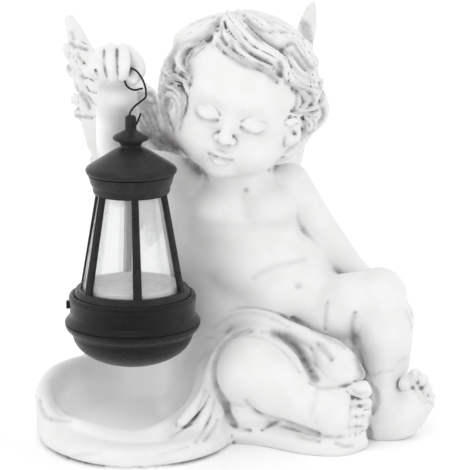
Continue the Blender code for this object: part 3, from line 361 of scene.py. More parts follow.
def skin_marks(clay):
    # chest, throat, navel and the folds at the waist
    press(clay, [at(-30, 245, 34), at(-9, 236, 40), at(15, 237, 41), at(40, 239, 40)], 6, 1.1)
    press(clay, [at(8, 271, 38), at(9, 253, 42)], 6, 1.2)
    press(clay, [at(11, 277, 40)], 2.0, 5.5)
    press(clay, [at(64, 182, 52)], 2.0, 6.5)
    press(clay, [at(64, 182, 52)], 7, 1.5)
    for k in range(3):
        press(clay, [at(13 + 7 * k, 227 - 5 * k, 46), at(27 + 6 * k, 219 - 4 * k, 46)], 3, 0.9)
    # spine and shoulder blades
    press(clay, [at(5, 282, -46), at(13, 237, -46), at(23, 192, -48)], 6, 4)


def arms(clay):
    # his left, resting along the thigh
    limb(clay, [at(55, 283, 0), at(79, 251, 4), at(102, 219, 0), at(125, 190, -4), at(159, 165, 5)],
         [21, 16, 14.5, 14, 12], 6)
    limb(clay, [at(159, 165, 5), at(170, 155, 22), at(174, 143, 34)], [11, 8, 5], 5)
    # his right, lifting the lantern
    limb(clay, [at(-35, 279, -8), at(-73, 294, -30), at(-111, 297, -44)], [24, 22, 21], 10)
    forearm = [at(-113, 295, -44), at(-117, 317, -18), at(-118, 343, 12), at(-118, 373, 42)]
    limb(clay, forearm, [21, 21, 20.5, 19.5], 8)


# fingers of the raised hand: knuckle, middle joint and tip as (across, up), and half width
FINGERS = [
    ((-140, 408), (-143, 399), (-140, 391), 5),
    ((-134, 414), (-136.5, 400), (-132, 390), 5.6),
    ((-124, 417), (-124.5, 402), (-122.5, 389.5), 6),
    ((-112, 416), (-111, 402), (-112.5, 391.5), 6.2),
]


def fist(clay):
    ball(clay, at(-122, 403, 50), (20, 18, 19), 6)
    for knuckle, joint, tip, r in FINGERS:
        limb(clay, [at(*knuckle, 60), at(*joint, 75), at(*tip, 72)], [r + 1, r, r * 0.88], 0.8)
    thumb = [at(-109, 411, 44), at(-100, 406, 52), at(-96, 396, 60), at(-102, 387, 66)]
    limb(clay, thumb, [11, 8, 6.5, 5.5], 4)
    for gap in ([(-142, 407), (-139, 397), (-135.5, 387)], [(-131.5, 417), (-131, 405), (-128, 388)],
                [(-118, 417), (-118.5, 404), (-117, 389)]):
        press(clay, [at(a, b, f) for (a, b), f in zip(gap, (66, 78, 78))], 1.5, 3.2)


def legs(clay):
    # his left, knee raised
    limb(clay, [at(73, 145, 0), at(107, 161, 32), at(141, 171, 38)], [36, 32, 26], 8)
    limb(clay, [at(145, 173, 40), at(151, 132, 46), at(151, 107, 46)], [26, 26.5, 22], 6)
    limb(clay, [at(151, 107, 46), at(149, 77, 58), at(153, 55, 66)], [22, 19, 20], 6)
    limb(clay, [at(147, 43, 66), at(166, 51, 70), at(179, 65, 72)], [22, 22, 19], 8)
    ball(clay, at(117, 109, 26), (26, 22, 32), 8)
    press(clay, [at(137, 89, 72), at(149, 91, 76), at(162, 105, 70)], 3, 2.5)
    for across, up, r in ((180, 91, 7.5), (188, 87, 5.8), (192, 79, 5.5), (195, 71, 5), (195, 63, 4.5)):
        limb(clay, [at(across - 9, up - 8, 74), at(across, up, 78)], [r, r], 1.5)


def front_leg(clay):
    # his right, crossed in front
    limb(clay, [at(37, 137, 10), at(19, 99, 70)], [36, 35], 6)
    limb(clay, [at(17, 94, 78), at(53, 77, 88), at(87, 60, 94)], [36, 33, 27], 8)
    ball(clay, at(17, 57, 84), (23, 20, 20), 3)
    limb(clay, [at(83, 60, 92), at(103, 54, 96), at(111, 54, 94)], [27, 28, 25], 8)
    ball(clay, at(115, 56, 86), (13, 14, 29), 6)
    limb(clay, [at(-13, 114, 92), at(-20, 95, 96), at(-17, 75, 102), at(-9, 56, 108), at(1, 39, 110)],
         [2, 3.4, 4, 4, 2.5], 3, cut=True)
    press(clay, [at(85, 77, 118), at(79, 62, 124), at(81, 45, 118)], 3, 1.6)
    press(clay, [at(12, 67, 112), at(27, 53, 110), at(57, 42, 112)], 2.6, 3.5)
    toes = ((127, 77.5, 9), (129, 64, 6.6), (128.5, 53, 6), (127, 42.5, 5.7), (124.5, 32.5, 5.4))
    for across, up, r in toes:
        toe = [at(across - 14, up - 1, 97), at(across - 6, up, 104), at(across + 1.5, up, 107)]
        limb(clay, toe, [r * 0.85, r * 0.8, r], 0.5)
        nail = up + r * 0.35
        press(clay, [at(across + 2.5, nail, 108 + r), at(across + 5, nail, 106 + r)], 2.2, 1.4)


# the basin's lip, (across, up, forward, half thickness) all round, and the line of its foot
RIM = [(-162, 101, -6, 8), (-178, 94, 12, 8), (-189, 81, 30, 8), (-189, 63, 56, 9), (-177, 44, 88, 9),
       (-155, 37, 108, 9), (-123, 27, 122, 8), (-92, 24, 122, 8), (-63, 38, 108, 9), (-42, 59, 88, 9),
       (-30, 79, 66, 9), (-22, 105, 42, 9), (-29, 125, 8, 10), (-49, 135, -20, 9), (-85, 131, -34, 9),
       (-123, 123, -34, 8), (-147, 106, -22, 8)]
FOOT = [(-157, 62, 14), (-173, 52, 45), (-179, 37, 78), (-171, 20, 110), (-151, 12, 138), (-123, 8, 156),
        (-85, 9, 155), (-55, 13, 144), (-31, 19, 122), (-15, 35, 88), (-10, 52, 50), (-20, 67, 15),
        (-45, 87, -20), (-85, 89, -36), (-123, 82, -36), (-143, 72, -16)]
FOOT_LEVEL = 7.0
RING_STEPS = 181                # places on the lip's line, which runs on past its start
RING_CLOSED = 162               # as many of them as go once round
BASIN_MIDDLE = (-95, -60, 10.0)
BASIN_HALF = (76, 88, 30.0)
BASIN_BLOCK = 1.2               # the softening looks at a block this much larger
BASIN_INSIDE = (1.1, 0.08)      # the inside ends at this share of its plan, and eases off over that
BASIN_FLOOR = 24.0              # the floor and its rounding lie below this height
BASIN_FILLET = 30               # height over which the rounding fades out
BASIN_SIDE = (-60.0, 12)        # right of this the cloth hangs in: where it ends, and eases off over
BASIN_CLEAN = 0.2               # keeps the wash off the smooth inside
SOFT_REACH = 7.0


def basin(clay):
    rim = [at(*q[:3]) for q in RIM]
    thick = [q[3] for q in RIM]
    foot = [np.array([*at(*q)[:2], FOOT_LEVEL]) for q in FOOT]
    line = spline(np.hstack([np.array(rim + rim[:3]), np.array(thick + thick[:3])[:, None]]), RING_STEPS)
    base = spline(np.array(foot + foot[:3]), RING_STEPS)
    for top, low in zip(line[:RING_CLOSED], base):
        limb(clay, [top[:3], low], [top[3] * 0.85, 8], 0.6)
    limb(clay, line[::2, :3], line[::2, 3], 3, steps=RING_STEPS // 2 + 1)
    middle = np.mean(foot, axis=0)
    ball(clay, (middle[0], middle[1], 2), (80, 92, 10), 34)
    press(clay, [at(-198, 67, 50), at(-194, 52, 66), at(-187, 45, 86), at(-161, 44, 106)], 3, 3.0)
    ball(clay, at(-163, 27, 106), (20, 18, 12), 10)


def falling(values, end, over):
    """1 where values are low, easing to 0 at the end over the given stretch."""
    return np.clip((end - values) / over, 0, 1)


def in_basin(rows, low, high):
    """How far inside the basin's plan places are, falling from 1 to 0 between two heights."""
    x, y = ((rows[k] - BASIN_MIDDLE[k]) / BASIN_HALF[k] for k in (0, 1))
    return falling(np.sqrt(x ** 2 + y ** 2), *BASIN_INSIDE) * falling(rows[2], high, high - low)


def softened(clay):
    """Round the corner between the basin's floor and its wall, as a cast basin has it."""
    middle, reach = np.array(BASIN_MIDDLE), BASIN_BLOCK * np.array(BASIN_HALF)
    where, rows = clay.window(middle - reach, middle + reach)
    part = clay.field[where]
    rows = [rows[0][:, None, None], rows[1][None, :, None], rows[2][None, None, :]]
    share = in_basin(rows, BASIN_FLOOR, BASIN_FLOOR + BASIN_FILLET)
    clay.field[where] = part + (blurred(part, SOFT_REACH / clay.cell) - part) * share


def cloth(clay):
    # the mound he sits on, and ridges running down it all round
    ball(clay, (40, -26, 12), (112, 74, 32), 12)
    ball(clay, (34, 8, 40), (92, 72, 62), 16)
    ball(clay, (40, 10, 8), (112, 84, 22), 14)
    for k in range(10):
        turn = math.radians(-20 + 24 * k)
        bend = math.radians(11 * math.sin(k * 2.3))
        high = (34 + 60 * math.cos(turn), 10 + 44 * math.sin(turn), 84 + 8 * math.sin(k * 1.7))
        half = (38 + 92 * math.cos(turn + bend), 8 + 70 * math.sin(turn + bend), 44)
        low = (42 + 108 * math.cos(turn + 1.6 * bend), 8 + 84 * math.sin(turn + 1.6 * bend), 4)
        limb(clay, [high, half, low], [5, 11 + 3 * math.sin(k), 12], 16)
    # hems and folds over the lap and the knee, and down in front
    limb(clay, [at(1, 122, 10), at(50, 115, 42), at(90, 99, 60)], [30, 27, 20], 8)
    hem = [at(-45, 123, -5), at(-23, 137, 18), at(3, 149, 34), at(29, 149, 46), at(61, 135, 58),
           at(93, 121, 70), at(112, 108, 80), at(122, 93, 90)]
    limb(clay, hem, [9, 8, 7, 7, 8, 9, 9, 8], 4)
    limb(clay, [at(95, 111, 72), at(103, 95, 84), at(111, 87, 92)], [16, 15, 10], 5)
    knee = [at(-27, 75, 78), at(-20, 105, 70), at(-6, 126, 66), at(15, 134, 64), at(36, 131, 66),
            at(55, 114, 74), at(70, 91, 88), at(87, 77, 98)]
    limb(clay, knee, [8, 7, 6, 5.5, 5.5, 6, 6, 5], 3)
    limb(clay, [at(-25, 99, 52), at(-25, 67, 76), at(-31, 27, 108)], [14, 16, 14], 8)
    for a, b, e in (((-29, 82), (-37, 65), (-53, 45)), ((-21, 75), (-28, 55), (-43, 31)),
                    ((-16, 67), (-19, 47), (-31, 25))):
        limb(clay, [at(*a, 80), at(*b, 100), at(*e, 120)], [5, 6, 5], 3)
    limb(clay, [at(-31, 21, 116), at(-13, 32, 90), at(5, 35, 82), at(40, 29, 100), at(73, 21, 120),
             at(105, 18, 124), at(125, 25, 108)], [11, 9, 10, 11, 10, 9, 8], 8)
    limb(clay, [at(5, 42, 70), at(95, 37, 80)], [22, 22], 8)
    fold = [at(45, 129, 72), at(62, 115, 80), at(74, 99, 90), at(83, 84, 102)]
    limb(clay, fold, [2.5, 5, 6, 3.5], 3, cut=True)
    press(clay, [at(83, 122, 82), at(95, 109, 90)], 4, 4)
    press(clay, [at(-13, 144, 38), at(13, 151, 46), at(37, 146, 54)], 3, 2)


def lock(clay, path, wide, thick, strands):
    """A lock of hair laid over the head along squares of the elevation."""
    places, normals = zip(*[sight(across, up, LOCK_LIFT) for across, up in path])
    n = len(path)
    wides = [wide * (0.45 + 0.55 * math.sin(math.pi * min(1, (i + 0.6) / n * 1.15))) for i in range(n)]
    thicks = [thick] * (n - 1) + [thick * 0.6]
    band(clay, places, wides, thicks, normals, LOCK_BLEND, strands, LOCK_GROOVE, steps=3 * n + 3)


def tress(clay, places, wides, thicks, blend, strands, groove, steps):
    """A lock down the back of the head through places on the shell."""
    points, normals = zip(*[shell(*place) for place in places])
    band(clay, points, wides, thicks, normals, blend, strands, groove, steps=steps)


LOCK_LIFT, LOCK_BLEND, LOCK_GROOVE = 3.2, 1.2, 2.3
# the locks in front: squares they run through, half width, half thickness, strands
FRONT_LOCKS = [
    # along the brow, from the parting to the temple
    ([(-16, 449), (-20, 435), (-13, 419), (8, 405), (28, 396), (45, 386)], 6, 6, 2),
    ([(-12, 449), (-11, 431), (1, 416), (18, 404), (33, 399)], 6, 7, 2),
    ([(-7, 452), (3, 435), (19, 418), (36, 408), (46, 399), (47, 387)], 11, 9, 3),
    ([(3, 454), (21, 439), (37, 425), (53, 415), (65, 401), (79, 395)], 9, 9, 3),
    ([(13, 456), (37, 445), (57, 429), (65, 413), (77, 403), (83, 401)], 10, 9, 3),
    ([(27, 455), (53, 443), (71, 425), (81, 411)], 9, 8, 2),
    ([(49, 411), (56, 397), (67, 388), (81, 386), (87, 377)], 7, 8, 2),
    ([(47, 401), (53, 387), (65, 378), (78, 374), (79, 364), (68, 358), (56, 354)], 6, 7, 2),
    ([(65, 375), (69, 366), (65, 359)], 4, 6, 1),
    ([(79, 383), (88, 374), (86, 363), (77, 357)], 5.5, 7, 2),
    ([(58, 354), (71, 355), (83, 353), (89, 345), (83, 334)], 6, 7, 2),
    ([(85, 363), (92, 351), (86, 337), (73, 325)], 6, 7, 2),
    ([(69, 349), (74, 339), (71, 327), (61, 317), (51, 310)], 6, 7, 2),
    ([(79, 335), (71, 321), (61, 312)], 6, 7, 2),
    # his right side, waves down to the ear
    ([(-16, 450), (-33, 448), (-51, 440), (-61, 427), (-64, 417)], 9, 8, 3),
    ([(-17, 443), (-33, 436), (-47, 429), (-55, 419), (-57, 407)], 7, 7, 2),
    ([(-19, 433), (-31, 425), (-45, 419), (-51, 409), (-51, 399), (-44, 392)], 6, 7, 2),
    ([(-29, 422), (-40, 413), (-45, 405)], 4, 5, 1),
    ([(-59, 421), (-66, 409), (-68, 397), (-59, 390), (-48, 385), (-46, 373)], 6, 7, 2),
    ([(-67, 407), (-72, 393), (-67, 383), (-55, 378), (-48, 369), (-49, 359)], 6, 7, 2),
    ([(-71, 409), (-75, 393), (-75, 375), (-79, 359), (-78, 343), (-71, 329)], 7, 8, 2),
    ([(-63, 383), (-71, 369), (-73, 353), (-68, 337), (-63, 325)], 5.5, 7, 2),
]


def hair(clay):
    ball(clay, hd(*CAPC), tuple(CAP), 3, turn=HTURN)
    ball(clay, hd(*(CAPC - (0, 20, 6))), tuple(CAP - (2, 6, 4)), 6, turn=HTURN)
    # waves from the crown down the back
    for k in range(15):
        turn = 84 + k * 192.0 / 14
        places = [(turn + 6.0 * math.sin(j * 1.9 + k * 2.1) * min(1, j / 1.5), 78 - j * 18.5,
                   0.5 + 1.5 * math.sin(j * 1.3 + k)) for j in range(7)]
        tress(clay, places, [5, 9, 12, 13, 12.5, 11, 6], [6, 7, 8, 8, 8, 8, 6], 1.6, 3, 1.7, 22)
    # curls at the nape, each turning out at its end
    for k in range(10):
        turn = 96 + k * 18.6
        places = [(turn + 10 * math.sin(j * 1.5 + k) * j / 4, -4 - j * 11, 8 if j == 4 else 5)
                  for j in range(5)]
        tress(clay, places, [5, 9, 10, 9, 5], [5, 7, 7.5, 7, 5], 1.5, 2, 1.6, 16)
    # the swell over the brow and the one beside the ear
    limb(clay, [at(-50, 426, 8), at(-35, 437, 8), at(-14, 445, 8)], [11.5, 10.5, 8], 6)
    limb(clay, [at(84, 373, -6), at(88, 361, -6), at(86, 348, -8), at(75, 336, -10)], [6, 6, 5.5, 4], 3)
    for front in FRONT_LOCKS:
        lock(clay, *front)


def on_head(places, side=1, up=0.0, out=0.0):
    """Places from the head's middle as (right, up, forward), mirrored where side is -1."""
    return [hd(r * side, u + up, f + out) for r, u, f in places]


def face(clay):
    """A calm child's face with lowered lids, by rule: eyes at half height, small nose and mouth."""
    ball(clay, hd(0, 8, -4), (64, 64, 71), 4, turn=HTURN)
    for s in (-1, 1):
        ball(clay, hd(26 * s, -34, 32), (25, 23, 26), 12, turn=HTURN)
    ball(clay, hd(0, -40, 26), (44, 28, 30), 10, turn=HTURN)
    ball(clay, hd(0, -57, 44), (13, 10, 12), 10, turn=HTURN)
    ball(clay, hd(0, -38, 47), (17, 14, 16), 8, turn=HTURN)
    for s in (-1, 1):
        # socket, brow, lowered lid, lash line, fold above the lid, edge of the lower lid
        press(clay, [hd(13 * s, -1, 66), hd(24 * s, -3, 66), hd(34 * s, -4, 60)], 9, 5.0)
        press(clay, [hd(11 * s, 13, 67), hd(23 * s, 17, 65), hd(36 * s, 13, 60)], 6, -1.3)
        ball(clay, hd(23.5 * s, -5.5, 50), (12, 9.2, 12.6), 2.5, turn=HTURN)
        lash = [(35.5, -7.5, 57), (30, -11.2, 60), (23.5, -12.6, 61.6), (17, -11.4, 61), (11.5, -8, 60)]
        press(clay, on_head(lash, s), 1.5, 3.2)
        stain(clay, on_head(lash, s), 2.2, 0.75)
        press(clay, on_head(lash[:4], s, 2.6, 0.8), 1.5, -0.7)
        press(clay, on_head(lash[1:4], s, -3.4, -1), 1.9, -0.9)
        fold = [(36, -1.5, 56.5), (30, 3, 60.5), (23, 4.6, 62), (16, 3, 62), (11, -2.5, 61)]
        press(clay, on_head(fold, s), 1.7, 2.4)
        press(clay, [hd(13 * s, -16, 60), hd(20 * s, -20, 60), hd(28 * s, -19, 58)], 3, 0.8)
    # nose: low bridge, round tip, wings, nostrils
    limb(clay, [hd(0, -3, 60), hd(0, -12, 63.5), hd(0, -19.5, 68)], [4.5, 5, 6], 6)
    ball(clay, hd(0, -21.5, 68.5), (7.2, 6.4, 6.6), 2.5, turn=HTURN)
    for s in (-1, 1):
        ball(clay, hd(7.4 * s, -23.6, 64.5), (4.6, 4.2, 5.2), 2, turn=HTURN)
        press(clay, [hd(9.6 * s, -19.5, 67), hd(12 * s, -23, 65), hd(11 * s, -27, 64)], 1.6, 1.6)
        press(clay, [hd(3.2 * s, -27.4, 70.5), hd(5.4 * s, -26.6, 69)], 1.6, 3.6)
        stain(clay, [hd(3.4 * s, -27.6, 69), hd(5.4 * s, -26.8, 68)], 2.0, 0.8)
    press(clay, [hd(0, -30.5, 67), hd(0, -36, 66)], 1.8, 1.7)
    # lips
    upper = [(-10.5, -42.4, 58.5), (-5.5, -39.4, 62.6), (-2.2, -38.4, 64), (0, -39.3, 64), (2.2, -38.4, 64),
             (5.5, -39.4, 62.6), (10.5, -42.4, 58.5)]
    limb(clay, on_head(upper), [1.6, 2.9, 3.1, 3.0, 3.1, 2.9, 1.6], 1.6)
    limb(clay, [hd(-7.5, -44.8, 59), hd(-3, -46.4, 62.6), hd(3, -46.4, 62.6), hd(7.5, -44.8, 59)],
         [2.2, 3.6, 3.6, 2.2], 1.8)
    part = [(-11.5, -43.4, 59.5), (-6, -42.4, 64.5), (-2, -42.2, 66.5), (0, -43.0, 67), (2, -42.2, 66.5),
            (6, -42.4, 64.5), (11.5, -43.4, 59.5)]
    press(clay, on_head(part), 1.4, 3.4)
    stain(clay, on_head(part), 1.9, 0.6)
    for s in (-1, 1):
        press(clay, [hd(12.2 * s, -43.4, 59.5)], 2.2, 2.0)
    press(clay, [hd(-6, -52, 61), hd(0, -52.6, 62), hd(6, -52, 61)], 2.6, 2.2)


# the rim of each ear, and its hollow
EARS = [
    ([(-65, 364), (-63, 372), (-56, 372), (-51, 364), (-51, 355), (-55, 345), (-56, 336)], (-58, 357)),
    ([(52, 346), (60, 349), (67, 342), (66, 331), (59, 320), (51, 313)], (57, 334)),
]


def ears(clay):
    for path, (across, up) in EARS:
        rim = [sight(*square, 4)[0] for square in path]
        ball(clay, sight(across, up)[0], (9, 9, 16), 3)
        limb(clay, rim, [3.4] * (len(rim) - 2) + [4.4, 5], 1.5)
        press(clay, [sight(across, up - 6, 4)[0], sight(across - 1, up + 5, 4)[0]], 3.6, 5)


# feathers of the wing beside the lantern: root, middle, tip as (across, up, forward), half width
FEATHERS = [
    ((-65, 262, -50), (-79, 241, -58), (-87, 221, -64), 9),
    ((-73, 275, -54), (-91, 255, -64), (-103, 235, -70), 10),
    ((-81, 291, -58), (-105, 275, -68), (-123, 261, -76), 10),
    ((-87, 303, -62), (-115, 293, -74), (-137, 284, -82), 10),
    ((-93, 317, -64), (-123, 309, -76), (-146, 306, -86), 10.5),
    ((-97, 329, -66), (-127, 324, -78), (-149, 325, -88), 10.5),
    ((-101, 339, -68), (-131, 337, -80), (-153, 341, -90), 10),
    ((-105, 349, -70), (-137, 349, -82), (-162, 356, -92), 10.5),
    ((-109, 359, -72), (-141, 361, -84), (-165, 370, -94), 10.5),
    ((-113, 369, -74), (-139, 373, -86), (-162, 385, -94), 10),
    ((-117, 377, -76), (-145, 387, -88), (-169, 402, -96), 11),
    ((-121, 385, -78), (-149, 401, -90), (-172, 424, -98), 11.5),
    ((-129, 389, -80), (-153, 417, -92), (-168, 454, -100), 10),
]
# rows of small feathers over them: where each starts and ends along the large ones, and half width
COVERTS = [(0.34, 0.66, 9.5), (0.16, 0.46, 9.0), (-0.02, 0.28, 8.5)]
# the webs under them and the leading edge: places, half widths, half thicknesses, blend
WEBS = [
    ([(-59, 277, -52), (-77, 317, -62), (-95, 347, -70), (-115, 375, -78), (-137, 403, -88)],
     [26, 30, 30, 24, 12], [7, 6.5, 6, 5.5, 4.5], 5),
    ([(-89, 271, -62), (-113, 301, -72), (-127, 333, -77), (-137, 361, -84), (-147, 401, -90)],
     [18, 22, 24, 20, 12], [4.5, 4.5, 4.5, 4, 3.5], 4),
    ([(-59, 307, -54), (-71, 345, -64), (-85, 371, -72), (-112, 389, -79), (-143, 414, -90)],
     [9, 8.5, 8, 7, 4], [9, 8, 7, 6, 4], 4),
]
WING_FACING = (0.0, -1.0, 0.25)
# root, tip and one more place of the wing beside the lantern and of the one behind the head
LANTERN_WING = [at(-70, 307, -56), at(-168, 454, -100), at(-149, 326, -88)]
OTHER_WING = [at(39, 302, -50), at(76, 465, -104), at(59, 317, -128)]
# the long feather at the tip of the wing behind the head
TIP_FEATHER = [(66, 412, -98), (70, 430, -100), (73, 444, -102), (76, 457, -103), (78, 463, -104)]


def wing(clay, carry):
    """One wing, its places and directions carried to where it grows."""
    n = carry(np.array(WING_FACING), True)
    n = n / np.linalg.norm(n)
    # root, growing out of the shoulder blade
    root = ((-30, 267, -34), (-51, 279, -46), (-67, 302, -56))
    limb(clay, [carry(at(*q)) for q in root], [20, 17, 12], 14)
    for places, wides, thicks, blend in WEBS:
        band(clay, [carry(at(*q)) for q in places], wides, thicks, n, blend)
    for *places, wide in FEATHERS:
        a, m, t = (carry(at(*q)) for q in places)
        e = t + (m - t) * 0.12
        wides = [wide, wide * 1.1, wide * 1.1, wide * 0.95, wide * 0.55]
        band(clay, [a, (a + m) / 2, m, (m + e) / 2, e], wides, [4.5, 4.5, 4, 3.5, 2.5], n, 1.0,
             barbs=5.0, barb_depth=0.8, steps=15)
    for low, high, wide in COVERTS:
        for one, two in zip(FEATHERS, FEATHERS[1:]):
            base, end = ((carry(at(*one[k])) + carry(at(*two[k]))) / 2 for k in (0, 2))
            s, e = base + (end - base) * low, base + (end - base) * high
            for side in (1, -1):
                off = n * (6.4 - 5 * low) * side
                path = [s + off, (s + e) / 2 + off, e + off * 0.75]
                band(clay, path, [wide * 0.7, wide, 4], [3, 3, 2.4], n, 0.8,
                     barbs=4.5, barb_depth=0.8, steps=7)


def wing_axes(root, tip, third):
    """The directions a wing lies in, from three of its places."""
    one, two = tip - root, third - root
    facing = np.cross(one, two)
    return np.array([one, two, facing / np.linalg.norm(facing)]).T


SWING = wing_axes(*OTHER_WING) @ np.diag([1, 1, -1]) @ np.linalg.inv(wing_axes(*LANTERN_WING))


def swung(q, direction=False):
    """A place or direction of the wing beside the lantern, mirrored and swung behind the head."""
    return SWING @ q if direction else OTHER_WING[0] + SWING @ (q - LANTERN_WING[0])


def wings(clay):
    wing(clay, lambda q, *_: q)
    wing(clay, swung)
    band(clay, [at(*q) for q in TIP_FEATHER], [10, 10.5, 9.5, 6.5, 3.5], [4, 4, 3.5, 3, 2.5],
         (0.15, -1.0, 0.2), 1.0, barbs=4.5, barb_depth=0.9, steps=17)


# the deepest lines of the hair, as (across, up) squares, width and depth
HAIR_LINES = [
    ([(-18, 423), (-7, 412), (10, 401), (27, 397), (37, 389), (42, 385)], 2.4, 3.4),
    ([(-4, 426), (1, 414), (11, 406), (23, 400), (33, 397)], 1.9, 3.2),
    ([(-14, 441), (-13, 431), (-9, 423)], 1.8, 3.4),
    ([(13, 439), (21, 430), (31, 424), (46, 417)], 2, 3.2),
    ([(8, 452), (17, 442), (28, 436), (40, 435), (53, 435)], 1.7, 2.4),
    ([(8, 431), (15, 423), (22, 419)], 1.7, 1.8),
    ([(21, 411), (27, 408), (32, 407)], 1.7, 2.2),
    ([(-2, 441), (5, 427), (15, 415), (27, 407), (37, 403)], 1.6, 1.3),
    ([(44, 404), (46, 398), (43, 392)], 2.4, 4.2),
    ([(48, 418), (57, 424), (62, 419), (68, 409), (75, 400), (79, 399)], 2.3, 3.4),
    ([(46, 415), (55, 413), (62, 407), (68, 400), (76, 395)], 1.8, 2.2),
    ([(50, 409), (57, 401), (65, 393), (77, 387)], 1.7, 1.6),
    ([(46, 392), (52, 384), (61, 379), (70, 377), (76, 373), (79, 366), (74, 363)], 1.9, 3.2),
    ([(57, 378), (62, 372), (61, 362), (57, 355)], 1.8, 2.6),
    ([(83, 379), (87, 375), (86, 368), (84, 365)], 1.6, 2.6),
    ([(57, 355), (65, 354), (76, 354)], 2, 3.2),
    ([(68, 349), (70, 344), (69, 339)], 2.2, 3.8),
    ([(87, 359), (88, 354), (86, 349)], 1.6, 2.2),
    ([(74, 337), (69, 331), (66, 326)], 2, 3),
    ([(64, 324), (57, 320), (51, 315)], 1.8, 2.4),
    ([(-15, 449), (-19, 441), (-22, 433), (-28, 426), (-37, 421), (-46, 417), (-52, 410)], 2.6, 3.6),
    ([(-40, 427), (-48, 426), (-54, 421), (-58, 414)], 1.8, 2.4),
    ([(-43, 415), (-47, 407), (-46, 399)], 3, 4.2),
    ([(-59, 417), (-63, 409), (-61, 399)], 2.3, 3.2),
    ([(-68, 397), (-61, 390), (-54, 385), (-51, 379)], 2.3, 3.6),
    ([(-48, 397), (-44, 390), (-45, 383)], 2.2, 3.6),
    ([(-67, 385), (-60, 380), (-53, 376), (-48, 372)], 2, 3),
    ([(-75, 372), (-77, 359), (-73, 346), (-67, 333)], 1.8, 2.6),
    ([(-68, 369), (-70, 357), (-66, 346), (-61, 336)], 1.8, 3),
    ([(-45, 441), (-35, 446), (-21, 450)], 1.6, 1.6),
    ([(87, 379), (89, 370), (84, 363)], 1.8, 3),
    ([(86, 361), (88, 352), (83, 345)], 1.8, 3.6),
    ([(68, 352), (77, 354), (85, 359)], 1.8, 3),
    ([(66, 347), (71, 341), (66, 333)], 2.2, 4),
    ([(77, 347), (80, 340), (74, 332)], 1.8, 3),
    ([(66, 328), (72, 332), (79, 336)], 1.8, 2.6),
]

# creases of the skin, the cloth and the basin's lip, listed the same way
CREASES = [
    ([(15, 137), (1, 133), (-10, 125), (-17, 115), (-21, 101), (-20, 87), (-14, 71), (-7, 56),
       (-1, 43)], 3, 6.5),
    ([(40, 134), (53, 127), (64, 116), (73, 101), (80, 88)], 4.6, 11),
    ([(27, 136), (45, 131), (61, 117), (71, 99), (77, 87)], 2.0, 3.0),
    ([(-9, 129), (5, 131), (23, 130), (39, 124), (53, 111), (65, 95)], 1.6, 1.8),
    ([(-23, 138), (-5, 150), (15, 154), (35, 150), (53, 140)], 1.8, 2.2),
    ([(83, 122), (90, 115), (96, 108)], 3, 3.6),
    ([(58, 149), (72, 140), (90, 131), (110, 120)], 2.4, 4.6),
    ([(92, 165), (90, 151), (90, 137)], 2, 3),
    ([(120, 153), (117, 141), (119, 125), (125, 109), (131, 93)], 2.6, 5),
    ([(75, 84), (87, 79), (101, 80), (115, 83)], 2, 3.4),
    ([(11, 66), (22, 55), (35, 50), (49, 46), (65, 40), (83, 33)], 2.1, 4.2),
    ([(27, 37), (36, 42), (45, 46)], 1.8, 3),
    ([(62, 31), (71, 29), (84, 26)], 2, 5),
    ([(101, 24), (109, 21), (117, 21)], 1.9, 4.6),
    ([(-3, 43), (5, 38), (15, 36)], 2, 3.6),
    ([(83, 79), (80, 65), (76, 51)], 2.2, 1.3),
    ([(136, 83), (141, 73), (141, 63), (136, 51), (134, 37), (135, 23)], 2.4, 5),
    ([(-195, 67), (-193, 58), (-188, 50), (-177, 47), (-163, 46)], 2, 3.8),
    ([(-183, 63), (-177, 56), (-171, 51)], 1.6, 1.4),
    ([(-29, 78), (-33, 67), (-37, 57)], 1.9, 3.2),
    ([(-45, 43), (-54, 37), (-65, 30)], 1.7, 2.4),
    ([(-20, 67), (-23, 54), (-31, 37), (-40, 25)], 1.8, 2.6),
    ([(-17, 48), (-21, 39), (-31, 27)], 1.9, 3.8),
    ([(-47, 21), (-59, 17), (-75, 12)], 2, 1.6),
    ([(-135, 14), (-151, 12), (-167, 9)], 2.4, 1.4),
    ([(158, 96), (165, 105), (171, 109)], 1.8, 1.6),
    ([(135, 90), (145, 94), (155, 96)], 2, 1.8),
    ([(18, 189), (30, 196), (44, 201), (58, 204), (70, 207)], 3, 1.8),
    ([(-46, 307), (-38, 297), (-29, 291)], 2.2, 2.6),
    ([(48, 309), (41, 305), (35, 297)], 2.2, 3.4),
]

